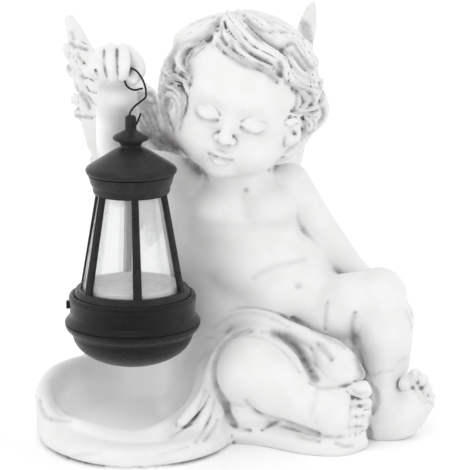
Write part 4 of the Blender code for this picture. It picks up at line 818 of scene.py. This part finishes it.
# lines of the feathers beside the raised forearm, down the outer wing and on the long feather
FEATHER_LINES = [
    ([(-97, 374), (-89, 373), (-80, 370)], 1.8, 3.6),
    ([(-96, 367), (-88, 364), (-79, 363)], 1.8, 4.0),
    ([(-94, 359), (-86, 356), (-80, 349)], 1.8, 4.0),
    ([(-92, 352), (-88, 343), (-82, 335)], 1.8, 4.2),
    ([(-86, 351), (-83, 343), (-77, 336)], 1.8, 4.2),
    ([(-95, 347), (-94, 339), (-89, 333)], 1.8, 4.0),
    ([(-97, 363), (-91, 360), (-87, 353)], 1.6, 3.4),
    ([(-84, 360), (-80, 352), (-77, 344)], 1.7, 3.6),
    ([(-80, 331), (-76, 325), (-70, 320)], 1.8, 3.0),
    ([(-169, 404), (-165, 397)], 1.5, 2.4),
    ([(-164, 424), (-160, 420)], 1.6, 3.0),
    ([(-156, 420), (-148, 417)], 1.7, 3.4),
    ([(-163, 434), (-161, 428)], 1.4, 2.0),
    ([(-154, 391), (-150, 388)], 1.5, 2.4),
    ([(-157, 411), (-152, 404)], 1.4, 1.8),
    ([(-154, 373), (-148, 365), (-145, 359)], 1.6, 3.2),
    ([(-162, 362), (-156, 357)], 1.5, 2.6),
    ([(-158, 351), (-150, 350), (-143, 349)], 1.6, 3.0),
    ([(-157, 377), (-148, 371), (-143, 366)], 1.5, 2.2),
    ([(-166, 414), (-168, 402)], 1.3, 1.4),
    ([(-94, 345), (-87, 335), (-82, 328)], 1.8, 6),
    ([(-92, 351), (-85, 338), (-79, 327)], 1.8, 6),
    ([(-88, 356), (-82, 341), (-77, 328)], 1.8, 6),
    ([(-85, 361), (-79, 346), (-75, 332)], 1.8, 6),
    ([(-89, 367), (-85, 359), (-83, 349)], 1.4, 3.6),
    ([(-83, 372), (-79, 363), (-77, 352)], 1.4, 3.6),
    ([(-95, 355), (-92, 361), (-86, 364)], 1.4, 3.4),
    ([(-96, 370), (-90, 372), (-83, 374)], 1.4, 3.4),
    ([(-83, 326), (-79, 321), (-75, 317)], 1.6, 4.0),
    ([(66, 447), (68, 437), (69, 428)], 1.3, 2.4),
    ([(69, 445), (74, 440)], 1.2, 2.6),
    ([(69, 440), (75, 435)], 1.2, 2.8),
    ([(70, 435), (76, 430)], 1.2, 3.0),
    ([(71, 431), (77, 425)], 1.2, 3.0),
]

# broad soft painted shade where parts meet, with some wash in the hair and the pits: squares, width and
# strength
SHADES = [
    ([(-91, 364), (-85, 350), (-79, 332)], 9, 0.62),
    ([(119, 116), (124, 102), (129, 88)], 4, 0.7),
    ([(-54, 372), (-52, 356), (-55, 338)], 2.6, 0.5),
    ([(-88, 333), (-76, 327), (-66, 322)], 7, 1.0),
    ([(-80, 324), (-68, 318), (-56, 312)], 5, 0.9),
    ([(-57, 421), (-63, 406), (-62, 390)], 6, 0.32),
    ([(-47, 414), (-45, 400), (-46, 384)], 6, 0.32),
    ([(-60, 386), (-56, 376), (-50, 368)], 5, 0.3),
    ([(-12, 424), (6, 407), (28, 398), (44, 390)], 3.6, 0.34),
    ([(64, 382), (74, 370), (72, 354)], 7, 0.2),
    ([(-73, 331), (-64, 323), (-54, 316)], 9, 1.0),
    ([(-54, 316), (-44, 305), (-31, 294)], 7.5, 0.8),
    ([(-59, 420), (-65, 408), (-63, 397)], 4, 0.45),
    ([(-44, 416), (-49, 405), (-46, 392)], 5, 0.4),
    ([(-20, 445), (-28, 433), (-41, 424)], 4.5, 0.4),
    ([(-74, 357), (-70, 341), (-60, 325)], 3.5, 0.5),
    ([(-135, 382), (-122, 379), (-110, 378)], 6, 0.22),
    ([(11, 277), (11.6, 276.4)], 2.2, 0.8),
    ([(64, 182), (64.6, 181.4)], 2.4, 0.7),
    ([(67, 444), (69, 432)], 4.5, 0.3),
]
# lines between the toes and the resting fingertips
TOE_LINES = [
    ([(117, 77), (123, 73), (131, 74)], 1.6, 4),
    ([(117, 61), (125, 61), (132, 62)], 1.6, 4),
    ([(117, 50), (124, 50), (131, 51)], 1.5, 3.4),
    ([(113, 39), (121, 40), (129, 40)], 1.5, 3.4),
    ([(117, 69), (115, 55), (114, 43)], 1.8, 2.2),
    ([(174, 95), (179, 88), (183, 81)], 1.6, 3),
    ([(184, 93), (183, 85), (186, 79), (191, 81)], 1.5, 2.6),
    ([(186, 79), (190, 72), (195, 71)], 1.5, 2.6),
    ([(189, 71), (193, 65), (199, 63)], 1.5, 2.4),
    ([(172, 95), (176, 83), (183, 72), (190, 63)], 2, 1.6),
    ([(171, 156), (175, 147), (177, 138)], 1.5, 2.6),
    ([(176, 154), (180, 146), (179, 140)], 1.3, 2),
]


def seen(clay, across, up):
    """Where the line of sight through a square first meets the clay."""
    way = at(across, up, 0) - EYE
    length = np.linalg.norm(way)
    way /= length
    steps = np.arange(length - SIGHT_REACH, length + SIGHT_REACH, clay.cell * 0.5)
    q = (EYE + steps[:, None] * way - clay.low) / clay.cell
    i = np.clip(np.round(q).astype(int), 0, clay.shape - 1)
    values = clay.field[i[:, 0], i[:, 1], i[:, 2]]
    inside = np.nonzero(values < 0)[0]
    if not len(inside):
        return None
    k = inside[0]
    share = values[k - 1] / max(values[k - 1] - values[k], 1e-6)
    return EYE + (steps[k - 1] + share * (steps[k] - steps[k - 1])) * way


def traced(clay, squares):
    """Runs of surface points that are seen from the front along a line of squares."""
    looked = [seen(clay, *square) for square in spline(squares, 3 * len(squares) - 2)]
    found = [q for q in looked if q is not None]
    runs = [[found[0]]] if found else []
    for q in found[1:]:
        if np.linalg.norm(q - runs[-1][-1]) > SIGHT_JUMP:
            runs.append([])
        runs[-1].append(q)
    return runs


def grooves(clay, lines, share=1.0):
    """Cut soft lines, and rub a share of the full wash into them."""
    for squares, width, depth in lines:
        wide = max(width, LINE_CELLS * clay.cell)
        for run in traced(clay, squares):
            press(clay, run, wide, depth, steps=2 * len(run))
        for run in traced(clay, squares):
            stain(clay, run, wide, min(1.0, share * depth / WASH_DEPTH))


def shades(clay):
    """Rub in the broad painted shades."""
    for squares, width, strength in SHADES:
        for run in traced(clay, squares):
            stain(clay, run, width, strength)


def sculpt(cell):
    """The whole figure in clay, part by part, with its wash and painted shade."""
    clay = Clay((-212, -175, -8), (212, 145, 428), cell)
    for step in (torso, wings, skin_marks, basin, softened, cloth, legs, front_leg, arms, fist, hair, face,
                 ears, shades):
        step(clay)
    grooves(clay, HAIR_LINES, HAIR_WASH)
    grooves(clay, FEATHER_LINES)
    grooves(clay, CREASES + TOE_LINES, SKIN_WASH)
    return clay


def surface(clay):
    """Corner points and four-sided faces of the clay's one outer surface."""
    grid = openvdb.FloatGrid(FAR)
    grid.copyFromArray(clay.field)
    points, quads = grid.convertToQuads(0.0)
    points, quads = points * clay.cell + clay.low, quads[:, ::-1].astype(int)
    label = np.arange(len(points))
    edges = np.vstack([quads[:, [k, (k + 1) % 4]] for k in range(4)])
    while True:
        lowest = np.minimum(label[edges[:, 0]], label[edges[:, 1]])
        fresh = label.copy()
        np.minimum.at(fresh, edges[:, 0], lowest)
        np.minimum.at(fresh, edges[:, 1], lowest)
        fresh = fresh[fresh]
        if np.array_equal(fresh, label):
            break
        label = fresh
    kept = label == np.bincount(label).argmax()
    place = np.cumsum(kept) - 1
    return points[kept], place[quads[kept[quads[:, 0]]]]


def blurred(solid, reach):
    """Values of a grid averaged over about this many cells round every point."""
    out = solid
    # half the side of the box; the passes together come to about the reach
    half = max(1, int(round(reach / 1.5)))
    for axis in (0, 1, 2):
        for _ in range(BLUR_PASSES):
            pad = [(half + 1, half) if k == axis else (0, 0) for k in range(3)]
            total = np.cumsum(np.pad(out, pad, mode="edge"), axis=axis, dtype=np.float32)
            size = out.shape[axis]
            upper = np.take(total, np.arange(2 * half + 1, 2 * half + 1 + size), axis=axis)
            lower = np.take(total, np.arange(0, size), axis=axis)
            out = (upper - lower) / (2 * half + 1)
    return out


def sampled(values, clay, points):
    """Values of a grid eased between its points."""
    q = (points - clay.low) / clay.cell
    i = np.clip(np.floor(q).astype(int), 0, np.array(values.shape) - 2)
    f = q - i
    out = np.zeros(len(points))
    for corner in range(8):
        step = np.array([corner >> 2 & 1, corner >> 1 & 1, corner & 1])
        weight = np.prod(np.where(step, f, 1 - f), axis=1)
        j = i + step
        out += weight * values[j[:, 0], j[:, 1], j[:, 2]]
    return out


def placed(name, data):
    """A new object with this data, put in the scene."""
    made = bpy.data.objects.new(name, data)
    bpy.context.scene.collection.objects.link(made)
    return made


def new_object(name, points, faces, smooth=True):
    mesh = bpy.data.meshes.new(name)
    mesh.from_pydata(points, [], faces)
    mesh.update()
    mesh.polygons.foreach_set("use_smooth", [smooth] * len(mesh.polygons))
    return placed(name, mesh)


def face_out(item):
    """Turn every face outwards."""
    work = bmesh.new()
    work.from_mesh(item.data)
    bmesh.ops.recalc_face_normals(work, faces=work.faces[:])
    work.to_mesh(item.data)
    work.free()


def settled(item):
    """Bake an object's modifiers into its mesh."""
    depsgraph = bpy.context.evaluated_depsgraph_get()
    mesh = bpy.data.meshes.new_from_object(item.evaluated_get(depsgraph))
    item.modifiers.clear()
    item.data = mesh
    mesh.name = item.name
    return item


def cut_flat(item):
    """Slice off what lies under the ground and close the cut."""
    work = bmesh.new()
    work.from_mesh(item.data)
    bmesh.ops.bisect_plane(work, geom=work.verts[:] + work.edges[:] + work.faces[:], dist=1e-7,
                           plane_co=(0, 0, 0), plane_no=(0, 0, 1), clear_inner=True)
    rim = [edge for edge in work.edges if edge.is_boundary]
    bmesh.ops.triangle_fill(work, edges=rim, use_beauty=True, use_dissolve=False, normal=(0, 0, -1))
    work.to_mesh(item.data)
    work.free()
    face_out(item)


def shown(item, material, *nodes):
    """Give a piece its finish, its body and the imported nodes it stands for."""
    item.data.materials.clear()
    item.data.materials.append(material)
    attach(item, "root")
    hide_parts(*nodes)
    return item


def node_tree(name):
    """A new material, its tree and its shader."""
    material = bpy.data.materials.new(name)
    material.use_nodes = True
    tree = material.node_tree
    return material, tree, tree.nodes["Principled BSDF"]


def feed(tree, node, values):
    """Give a node's sockets, by name or number, a plain number or colour each, or a link."""
    for key, value in values.items():
        if isinstance(value, tuple):
            node.inputs[key].default_value = value + (1.0,)
        elif isinstance(value, (int, float)):
            node.inputs[key].default_value = value
        else:
            tree.links.new(value, node.inputs[key])


def noise(tree, scale, detail, low, high, roughness=0.5):
    """Noise over the piece, its scale per metre, pulled to run between two values."""
    place = tree.nodes.new("ShaderNodeTexCoord")
    grain = tree.nodes.new("ShaderNodeTexNoise")
    feed(tree, grain, {"Vector": place.outputs["Object"], "Scale": scale, "Detail": detail,
                       "Roughness": roughness})
    return eased(tree, grain.outputs["Fac"], 0.3, 0.7, low, high)


def eased(tree, value, from_low, from_high, low, high):
    """Map a value from one range onto another, clamped, with a smooth step."""
    ramp = tree.nodes.new("ShaderNodeMapRange")
    ramp.interpolation_type = "SMOOTHSTEP"
    feed(tree, ramp, {"Value": value, "From Min": from_low, "From Max": from_high,
                      "To Min": low, "To Max": high})
    return ramp.outputs["Result"]


def math_node(tree, kind, one, two):
    """Two values put together by one kind of sum."""
    step = tree.nodes.new("ShaderNodeMath")
    step.operation = kind
    feed(tree, step, {0: one, 1: two})
    return step.outputs[0]


def blend_colour(tree, share, one, two):
    """From one colour to the other as share goes from 0 to 1."""
    mix = tree.nodes.new("ShaderNodeMix")
    mix.data_type = "RGBA"
    feed(tree, mix, {0: share, 6: one, 7: two})
    return mix.outputs[2]


def bump(tree, height, distance, strength):
    relief = tree.nodes.new("ShaderNodeBump")
    feed(tree, relief, {"Height": height, "Distance": distance, "Strength": strength})
    return relief.outputs["Normal"]


def attribute(tree, name):
    read = tree.nodes.new("ShaderNodeAttribute")
    read.attribute_name = name
    return read.outputs["Fac"]


def resin():
    """Off-white cast resin with a grey wash rubbed into its lines, creases and hollows, painted shade in
    broad hollows and where parts meet, and painted light inside the basin and on the raised forearm.
    """
    material, tree, shader = node_tree("cast resin")
    streaks = noise(tree, 210, 4, 0.72, 1.0)
    patches = noise(tree, 38, 3, 0.4, 1.0)
    deep = eased(tree, attribute(tree, "crease"), 0.02, 0.16, 0.0, 0.9)
    # the wash in lines and creases, with the painted shade rubbed in where parts meet
    dark_wash_and_shade = math_node(tree, "MULTIPLY", math_node(tree, "MAXIMUM", deep, attribute(tree, "wash_and_painted_shade")), streaks)
    # broad wash and painted shade: the hollows are darkened as if shade falls in them
    broad_wash_and_shade = eased(tree, attribute(tree, "hollow_wash_and_shade"), 0.07, 0.25, 0.0, 0.42)
    patchy_wash_and_shade = math_node(tree, "MULTIPLY", broad_wash_and_shade, patches)
    body = blend_colour(tree, noise(tree, 60, 4, 0.0, 1.0), (0.775, 0.77, 0.765), (0.81, 0.81, 0.808))
    # painted light: the body is made lighter inside the basin and on the raised forearm, where the lantern
    # shades them
    body = blend_colour(tree, attribute(tree, "unwashed_lit"), body, (0.94, 0.94, 0.94))
    body_with_hollow_shade = blend_colour(tree, patchy_wash_and_shade, body, (0.38, 0.365, 0.38))
    colour = blend_colour(tree, dark_wash_and_shade, body_with_hollow_shade, (0.105, 0.095, 0.102))
    grain = bump(tree, noise(tree, 900, 4, 0.0, 1.0, 0.6), 0.00012, 0.5)
    feed(tree, shader, {"Base Color": colour, "Roughness": noise(tree, 180, 3, 0.5, 0.66),
                        "Specular IOR Level": 0.35, "Normal": grain})
    return material


def black_plastic(name, shade):
    """Black plastic, a little greyer where the surface turns away: a painted sheen for the reflection along
    its sides.
    """
    material, tree, shader = node_tree(name)
    mottled = blend_colour(tree, noise(tree, 90, 3, 0.0, 1.0), (shade,) * 3, (2 * shade,) * 3)
    # painted sheen: greyer where the surface turns away, standing in for the studio reflected along the
    # sides
    painted_sheen = tree.nodes.new("ShaderNodeLayerWeight")
    colour = blend_colour(tree, painted_sheen.outputs["Facing"], mottled, (0.04, 0.04, 0.041))
    feed(tree, shader, {"Base Color": colour, "Roughness": noise(tree, 320, 3, 0.26, 0.36),
                        "Specular IOR Level": 0.17,
                        "Normal": bump(tree, noise(tree, 2400, 2, 0.0, 1.0), 0.00003, 0.35)})
    return material


def black_wire():
    material, tree, shader = node_tree("black wire")
    colour = blend_colour(tree, noise(tree, 700, 2, 0.0, 1.0), (0.008, 0.008, 0.009), (0.02, 0.02, 0.021))
    feed(tree, shader, {"Base Color": colour, "Roughness": noise(tree, 900, 2, 0.3, 0.5), "Metallic": 0.6})
    return material


def clear_glass():
    material, tree, shader = node_tree("clear glass")
    feed(tree, shader, {"Base Color": (0.9, 0.915, 0.91), "Roughness": 0.02, "IOR": 1.2,
                        "Transmission Weight": 0.64, "Alpha": 0.35})
    return material


def pale_plastic():
    material, tree, shader = node_tree("pale plastic")
    colour = blend_colour(tree, noise(tree, 120, 3, 0.0, 1.0), (0.68, 0.68, 0.67), (0.74, 0.74, 0.73))
    feed(tree, shader, {"Base Color": colour, "Roughness": noise(tree, 300, 2, 0.25, 0.4)})
    return material


# where the figure stays free of wash and is painted lighter against the lantern's shade: the basin's inside
# below these heights, and the raised forearm
UNWASHED_LIT_HEIGHTS = (60, 90)
ARM_MIDDLE = at(-113, 337, 10)
ARM_REACH = 36.0
ARM_EDGE = (1.2, 0.3)           # it ends at this many reaches, and eases off over that
ARM_SIDE = (-99.0, 10)
# how far round each place the clay is averaged to find its creases and hollows
HOLLOW_REACHES = {"crease": 3.2, "hollow_wash_and_shade": 10.0}


def unwashed_and_lit(spots):
    """How free of wash places stay, and how much painted light they take, from 0 to 1."""
    inside = in_basin(spots, *UNWASHED_LIT_HEIGHTS) * falling(spots[0], *BASIN_SIDE)
    arm = np.linalg.norm(spots - ARM_MIDDLE[:, None], axis=0) / ARM_REACH
    return np.maximum(inside, falling(arm, *ARM_EDGE) * falling(spots[0], *ARM_SIDE))


def written(mesh, name, values):
    """Store a value for every corner of a mesh under a name."""
    mesh.attributes.new(name, "FLOAT", "POINT").data.foreach_set("value", values.astype(np.float32))


def figure():
    """The cast figure: sculpted, thinned, cut flat, with its creases and hollows measured for the wash and
    the painted shade, and with the places that take painted light.
    """
    clay = sculpt(FIGURE_CELL)
    points, quads = surface(clay)
    made = new_object("angel_cast", (points * SQUARE).tolist(), quads.tolist())
    if 2 * len(quads) > FIGURE_TRIANGLES:
        thin = made.modifiers.new("thin", "DECIMATE")
        thin.ratio = FIGURE_TRIANGLES / (2.0 * len(quads))
        settled(made)
    cut_flat(made)
    mesh = made.data
    places = np.empty(len(mesh.vertices) * 3, np.float32)
    mesh.vertices.foreach_get("co", places)
    places = places.reshape(-1, 3)
    spots = places / SQUARE
    unwashed_lit = unwashed_and_lit(spots.T)
    written(mesh, "wash_and_painted_shade", sampled(clay.wash_and_painted_shade, clay, spots))
    written(mesh, "unwashed_lit", unwashed_lit)
    solid = np.clip(0.5 - clay.field / (2 * clay.cell), 0, 1).astype(np.float32)
    for name, reach in HOLLOW_REACHES.items():
        share = sampled(blurred(solid, reach / clay.cell), clay, spots) - 0.5
        written(mesh, name, share - BASIN_CLEAN * unwashed_lit)
    mesh.polygons.foreach_set("use_smooth", [True] * len(mesh.polygons))
    mesh.vertices.foreach_set("co", (places + np.array(SHIFT)).ravel())
    mesh.update()
    return made


MM = 0.001
# Profiles of the lantern as (radius, height above its underside), in millimetres
BOWL_RADIUS, BOWL_DEPTH = 44.8, 24.8
BOWL_RIM = [(46.9, 26.0), (49.0, 28.2), (50.0, 30.6), (50.2, 32.0), (49.9, 32.6), (0, 32.6)]
BASE = [(0, 32.9), (49.9, 32.9), (50.2, 33.3), (49.4, 34.6), (47.7, 36.4), (46.6, 37.6), (46.4, 38.8),
        (46.4, 48.4), (46.9, 49.0), (47.1, 50.6), (46.9, 52.3), (46.2, 53.6), (45.0, 54.1), (44.0, 53.9),
        (43.8, 52.6), (0, 52.6)]
LUG = ((-49.0, 45.2), (5.0, 5.6), 4.0)        # outer end and height of its middle, width and height, depth
MOULD_LINE = (-1.6, 39.4, 47.8)               # across, from and to
MOULD_HALF = (0.3, 0.6)                       # half its width and depth
BAND_RADIUS = 46.3
FOOT_RING = [(43.2, 52.9), (42.9, 54.2), (41.6, 58.0), (41.0, 58.6), (38.2, 58.6), (37.6, 58.1),
             (37.6, 52.9)]
COLLAR = [(0, 140.0), (24.7, 140.0), (24.7, 128.9), (26.0, 128.8), (27.3, 129.3), (28.1, 130.8),
          (28.3, 132.4), (28.3, 134.0), (28.9, 135.3), (29.8, 136.9), (30.6, 140.0), (31.5, 142.9),
          (31.5, 143.4), (0, 143.4)]
STRUT_LINE = [(40.05, 53.5), (24.96, 134.0)]
STRUT_COUNT = 6
STRUT_TURN = math.radians(8.0)
STRUT_WIDTHS = (6.6, 5.1)
STRUT_THICKNESS = 3.2
RIB_OFFSET, RIB_STAND, RIB_SHARE = 1.0, 0.45, 0.22      # from the bar's middle, off its face, of its width
STRUT_EDGE, LUG_EDGE, RIB_EDGE = 0.0006, 0.0003, 0.0002  # roundings, in metres
SHARP_ANGLE = math.radians(32)  # edges that turn more than this are rounded
GLASS = [(37.1, 53.0), (37.1, 58.5), (21.9, 139.2)]
GLASS_WALL = 1.2
PLATE = [(0, 52.9), (35.4, 52.9), (35.4, 58.0), (34.9, 61.2), (34.5, 61.5), (34.0, 61.2), (34.2, 58.0),
         (33.6, 55.5), (32.8, 55.0), (0, 55.0)]
CAP_PROFILE = [
    (0, 143.8), (31.9, 143.9), (32.6, 144.3), (33.3, 145.6), (33.4, 147.4), (32.3, 149.0), (29.8, 150.7),
    (26.1, 153.0), (22.2, 155.4), (18.6, 157.8), (15.1, 160.0), (11.6, 162.0), (8.6, 163.3), (7.5, 164.0),
    (7.8, 165.2), (9.1, 167.4), (9.9, 168.0), (11.4, 168.3), (12.8, 169.0), (13.4, 170.2), (13.1, 171.2),
    (11.9, 172.2), (8.0, 174.2), (4.5, 175.9), (4.2, 176.6), (4.2, 184.6), (3.8, 185.9), (2.6, 186.9),
    (0, 187.2),
]
BOWL_STEPS = 16
TURNED_STEPS = 96


def turned(name, profile):
    """Solid turned about the lantern's axis, from (radius, height) in millimetres round its outline."""
    steps = TURNED_STEPS
    points, rings = [], []
    for radius, height in profile:
        middle = LANTERN_FOOT + Vector((0, 0, height * MM))
        if radius == 0:
            rings.append([len(points)] * steps)
            points.append(middle)
            continue
        rings.append(list(range(len(points), len(points) + steps)))
        for k in range(steps):
            turn = 2 * math.pi * k / steps
            points.append(middle + Vector((math.cos(turn), math.sin(turn), 0)) * radius * MM)
    faces = []
    pairs = list(zip(rings, rings[1:])) + ([(rings[-1], rings[0])] if profile[0][0] else [])
    for one, two in pairs:
        for k in range(steps):
            n = (k + 1) % steps
            # at the axis a ring is one point, which a face names once
            corners = [one[k], one[n], two[n], two[k]]
            face = [c for i, c in enumerate(corners) if c not in corners[:i]]
            if len(face) > 2:
                faces.append(face)
    made = new_object(name, [tuple(p) for p in points], faces)
    face_out(made)
    return made


def finished(item, width=0.0):
    """Round an object's sharp edges a little and let the rest shade smoothly."""
    if width:
        edge = item.modifiers.new("edge", "BEVEL")
        edge.width = width
        edge.segments = 2
        edge.limit_method = "ANGLE"
        edge.angle_limit = SHARP_ANGLE
        edge.harden_normals = True
        settled(item)
    item.data.polygons.foreach_set("use_smooth", [True] * len(item.data.polygons))
    sharp = item.modifiers.new("smooth", "WEIGHTED_NORMAL")
    sharp.keep_sharp = True
    settled(item)
    return item


def block(name, corners):
    """Solid with four corners at each end."""
    faces = [[0, 1, 2, 3], [4, 5, 6, 7], [0, 1, 5, 4], [1, 2, 6, 5], [2, 3, 7, 6], [3, 0, 4, 7]]
    made = new_object(name, [tuple(c) for c in corners], faces, smooth=False)
    face_out(made)
    return made


def merged(name, items):
    """One object from several, their shells left as they are."""
    work = bmesh.new()
    for item in items:
        work.from_mesh(item.data)
        bpy.data.objects.remove(item)
    mesh = bpy.data.meshes.new(name)
    work.to_mesh(mesh)
    work.free()
    return placed(name, mesh)


def strut(turn, inset=0.0, stand=0.0, wide=1.0):
    """One slanting bar of the cage, or a rib on its face."""
    out = Vector((math.sin(turn), -math.cos(turn), 0))
    side = Vector((math.cos(turn), math.sin(turn), 0))
    corners = []
    for (radius, height), width in zip(STRUT_LINE, STRUT_WIDTHS):
        middle = LANTERN_FOOT + (out * (radius + stand) + Vector((0, 0, height))) * MM + side * inset * MM
        for s, o in ((-1, -1), (1, -1), (1, 1), (-1, 1)):
            away = side * (s * width * wide / 2) + out * (o * STRUT_THICKNESS / 2)
            corners.append(middle + away * MM)
    return block("strut", corners)


def cage(material):
    """Collar, foot ring, bars and the two ribs on each bar."""
    pieces = [finished(turned("collar", COLLAR)), finished(turned("foot_ring", FOOT_RING))]
    for k in range(STRUT_COUNT):
        turn = STRUT_TURN + 2 * math.pi * k / STRUT_COUNT
        pieces.append(finished(strut(turn), STRUT_EDGE))
        for side in (-1, 1):
            pieces.append(finished(strut(turn, side * RIB_OFFSET, RIB_STAND, RIB_SHARE), RIB_EDGE))
    return shown(merged("lantern_cage_bars", pieces), material, "lantern_cage")


def tube(name, line, radius, steps):
    """Round rod along a line of points, with closed ends."""
    ways = [(b - a).normalized() for a, b in zip(line, line[1:])]
    ways = [ways[0]] + [(a + b).normalized() for a, b in zip(ways, ways[1:])] + [ways[-1]]
    side = ways[0].orthogonal().normalized()
    points = []
    for centre, way in zip(line, ways):
        side = (side - way * side.dot(way)).normalized()
        up = way.cross(side)
        for k in range(steps):
            turn = 2 * math.pi * k / steps
            points.append(tuple(centre + (side * math.cos(turn) + up * math.sin(turn)) * radius))
    faces = [list(range(steps)), list(range(len(points) - steps, len(points)))]
    for ring in range(len(line) - 1):
        for k in range(steps):
            n = (k + 1) % steps
            near, far = ring * steps, (ring + 1) * steps
            faces.append([near + k, near + n, far + n, far + k])
    made = new_object(name, points, faces)
    face_out(made)
    return made


def lug():
    """The small catch on the side of the band, and the mould line down its front."""
    (outer, high), (wide, tall), deep = LUG
    across, low, top = MOULD_LINE
    parts = []
    for (middle, level), (half, rise, depth), place in (
            ((outer + deep / 2, high), (deep / 2, tall / 2, wide / 2), 0.0),
            ((across, (low + top) / 2), (MOULD_HALF[0], (top - low) / 2, MOULD_HALF[1]), BAND_RADIUS)):
        corners = []
        for z in (-rise, rise):
            for x, y in ((-half, -depth), (half, -depth), (half, depth), (-half, depth)):
                corners.append(LANTERN_FOOT + Vector((middle + x, y - place, level + z)) * MM)
        parts.append(finished(block("lug", corners), LUG_EDGE))
    return parts


def lantern():
    # one plastic in two copies: lighter for the cap and cage, painted darker for the base and bowl, for how
    # the light falls on them
    black = black_plastic("black plastic", 0.012)
    low = black_plastic("black plastic painted darker", 0.002)
    shown(finished(turned("lantern_cap_turned", CAP_PROFILE)), black, "lantern_cap")
    cage(black)
    base = merged("lantern_base_turned", [finished(turned("lantern_base_ring", BASE))] + lug())
    shown(base, low, "lantern_base")
    arc = [math.pi / 2 * k / BOWL_STEPS for k in range(1, BOWL_STEPS + 1)]
    bowl = [(BOWL_RADIUS * math.sin(a), BOWL_DEPTH * (1 - math.cos(a))) for a in arc]
    shown(finished(turned("lantern_bowl_turned", [(0, 0)] + bowl + BOWL_RIM)), low, "lantern_bowl")
    inner = [(radius - GLASS_WALL, height) for radius, height in reversed(GLASS)]
    shown(finished(turned("lantern_glass_tube", GLASS + inner)), clear_glass(), "lantern_glass")
    shown(finished(turned("light_plate_turned", PLATE)), pale_plastic(), "light_plate")


# The wire as (across, up, forward), from its free end under the fingers, through the hand, down and through
# the knob
WIRE_LINE = [
    (-92, 378.5, 69.5), (-95.3, 378, 70), (-100, 377, 71.5), (-104.5, 378.2, 73), (-108, 381, 74),
    (-110.2, 385.7, 73.5), (-110.4, 390, 70.5), (-108.5, 394.5, 69), (-106, 397.5, 70.5),
    (-103.6, 398.6, 73.5), (-100, 397, 74.5), (-97, 394.3, 73), (-92.4, 387.4, 70), (-89.6, 379.4, 68),
    (-89, 373.6, 67.2), (-89.6, 369.6, 66.6), (-94.2, 365.6, 66), (-100, 361, 66), (-104, 356, 66),
    (-105.6, 351.6, 66), (-105.9, 347.6, 66), (-104.4, 343.4, 67.5), (-102, 341.4, 70.5), (-99.4, 342, 73),
    (-97.4, 345.6, 73.4), (-95.6, 350, 73), (-94.2, 354, 72.5),
]
WIRE_DIAMETER = 0.0015
WIRE_SIDES = 14


def wire():
    bends = spline([at(*p) for p in WIRE_LINE], 6 * len(WIRE_LINE))
    line = [Vector(p * SQUARE) + SHIFT for p in bends]
    shown(tube("wire_hook_bent", line, WIRE_DIAMETER / 2, WIRE_SIDES), black_wire(), "wire_hook")


# soft lamps, above in front and at both sides: name, place, watts and size
LAMPS = [
    ("key", (-0.35, -1.3, 1.7), 2.9, 0.9),
    ("fill", (1.5, -1.0, 0.9), 0.8, 1.2),
    ("side", (-1.5, -1.0, 0.6), 1.2, 0.45),
]
FLOOR_REACH = 30.0
SKY_STRENGTH = 1.06


def aimed(item, target):
    """Turn a lamp or camera to look at a place."""
    item.rotation_euler = (target - item.location).to_track_quat("-Z", "Y").to_euler()


def studio():
    """Pale floor, white surroundings, three soft lamps, and the camera at the photograph's angle."""
    corners = [(x * FLOOR_REACH, y * FLOOR_REACH, 0) for x, y in ((-1, -1), (1, -1), (1, 1), (-1, 1))]
    floor = new_object("floor", corners, [[0, 1, 2, 3]])
    material, tree, shader = node_tree("pale floor")
    feed(tree, shader, {"Base Color": (0.99, 0.99, 0.99), "Roughness": 0.9})
    floor.data.materials.append(material)

    world = bpy.data.worlds.new("studio")
    bpy.context.scene.world = world
    world.use_nodes = True
    sky = world.node_tree.nodes["Background"]
    feed(world.node_tree, sky, {"Color": (1.0, 1.0, 1.0), "Strength": SKY_STRENGTH})

    target = Vector((0, 0, EYE_LEVEL * SQUARE)) + SHIFT
    for name, place, power, wide in LAMPS:
        lamp = bpy.data.lights.new(name, "AREA")
        lamp.energy = power
        lamp.size = wide
        holder = placed(name, lamp)
        holder.location = place
        aimed(holder, target)

    lens = bpy.data.cameras.new("camera")
    camera = placed("camera", lens)
    camera.location = target + Vector((0, -COS_TILT, SIN_TILT)) * VIEW_DISTANCE * SQUARE
    aimed(camera, target)
    lens.sensor_width = 36.0
    lens.lens = lens.sensor_width * VIEW_DISTANCE / PICTURE_WIDTH
    lens.clip_start = 0.05
    lens.clip_end = 100.0
    bpy.context.scene.camera = camera
    bpy.context.scene.view_settings.view_transform = "Standard"


studio()
shown(figure(), resin(), "angel")
lantern()
wire()
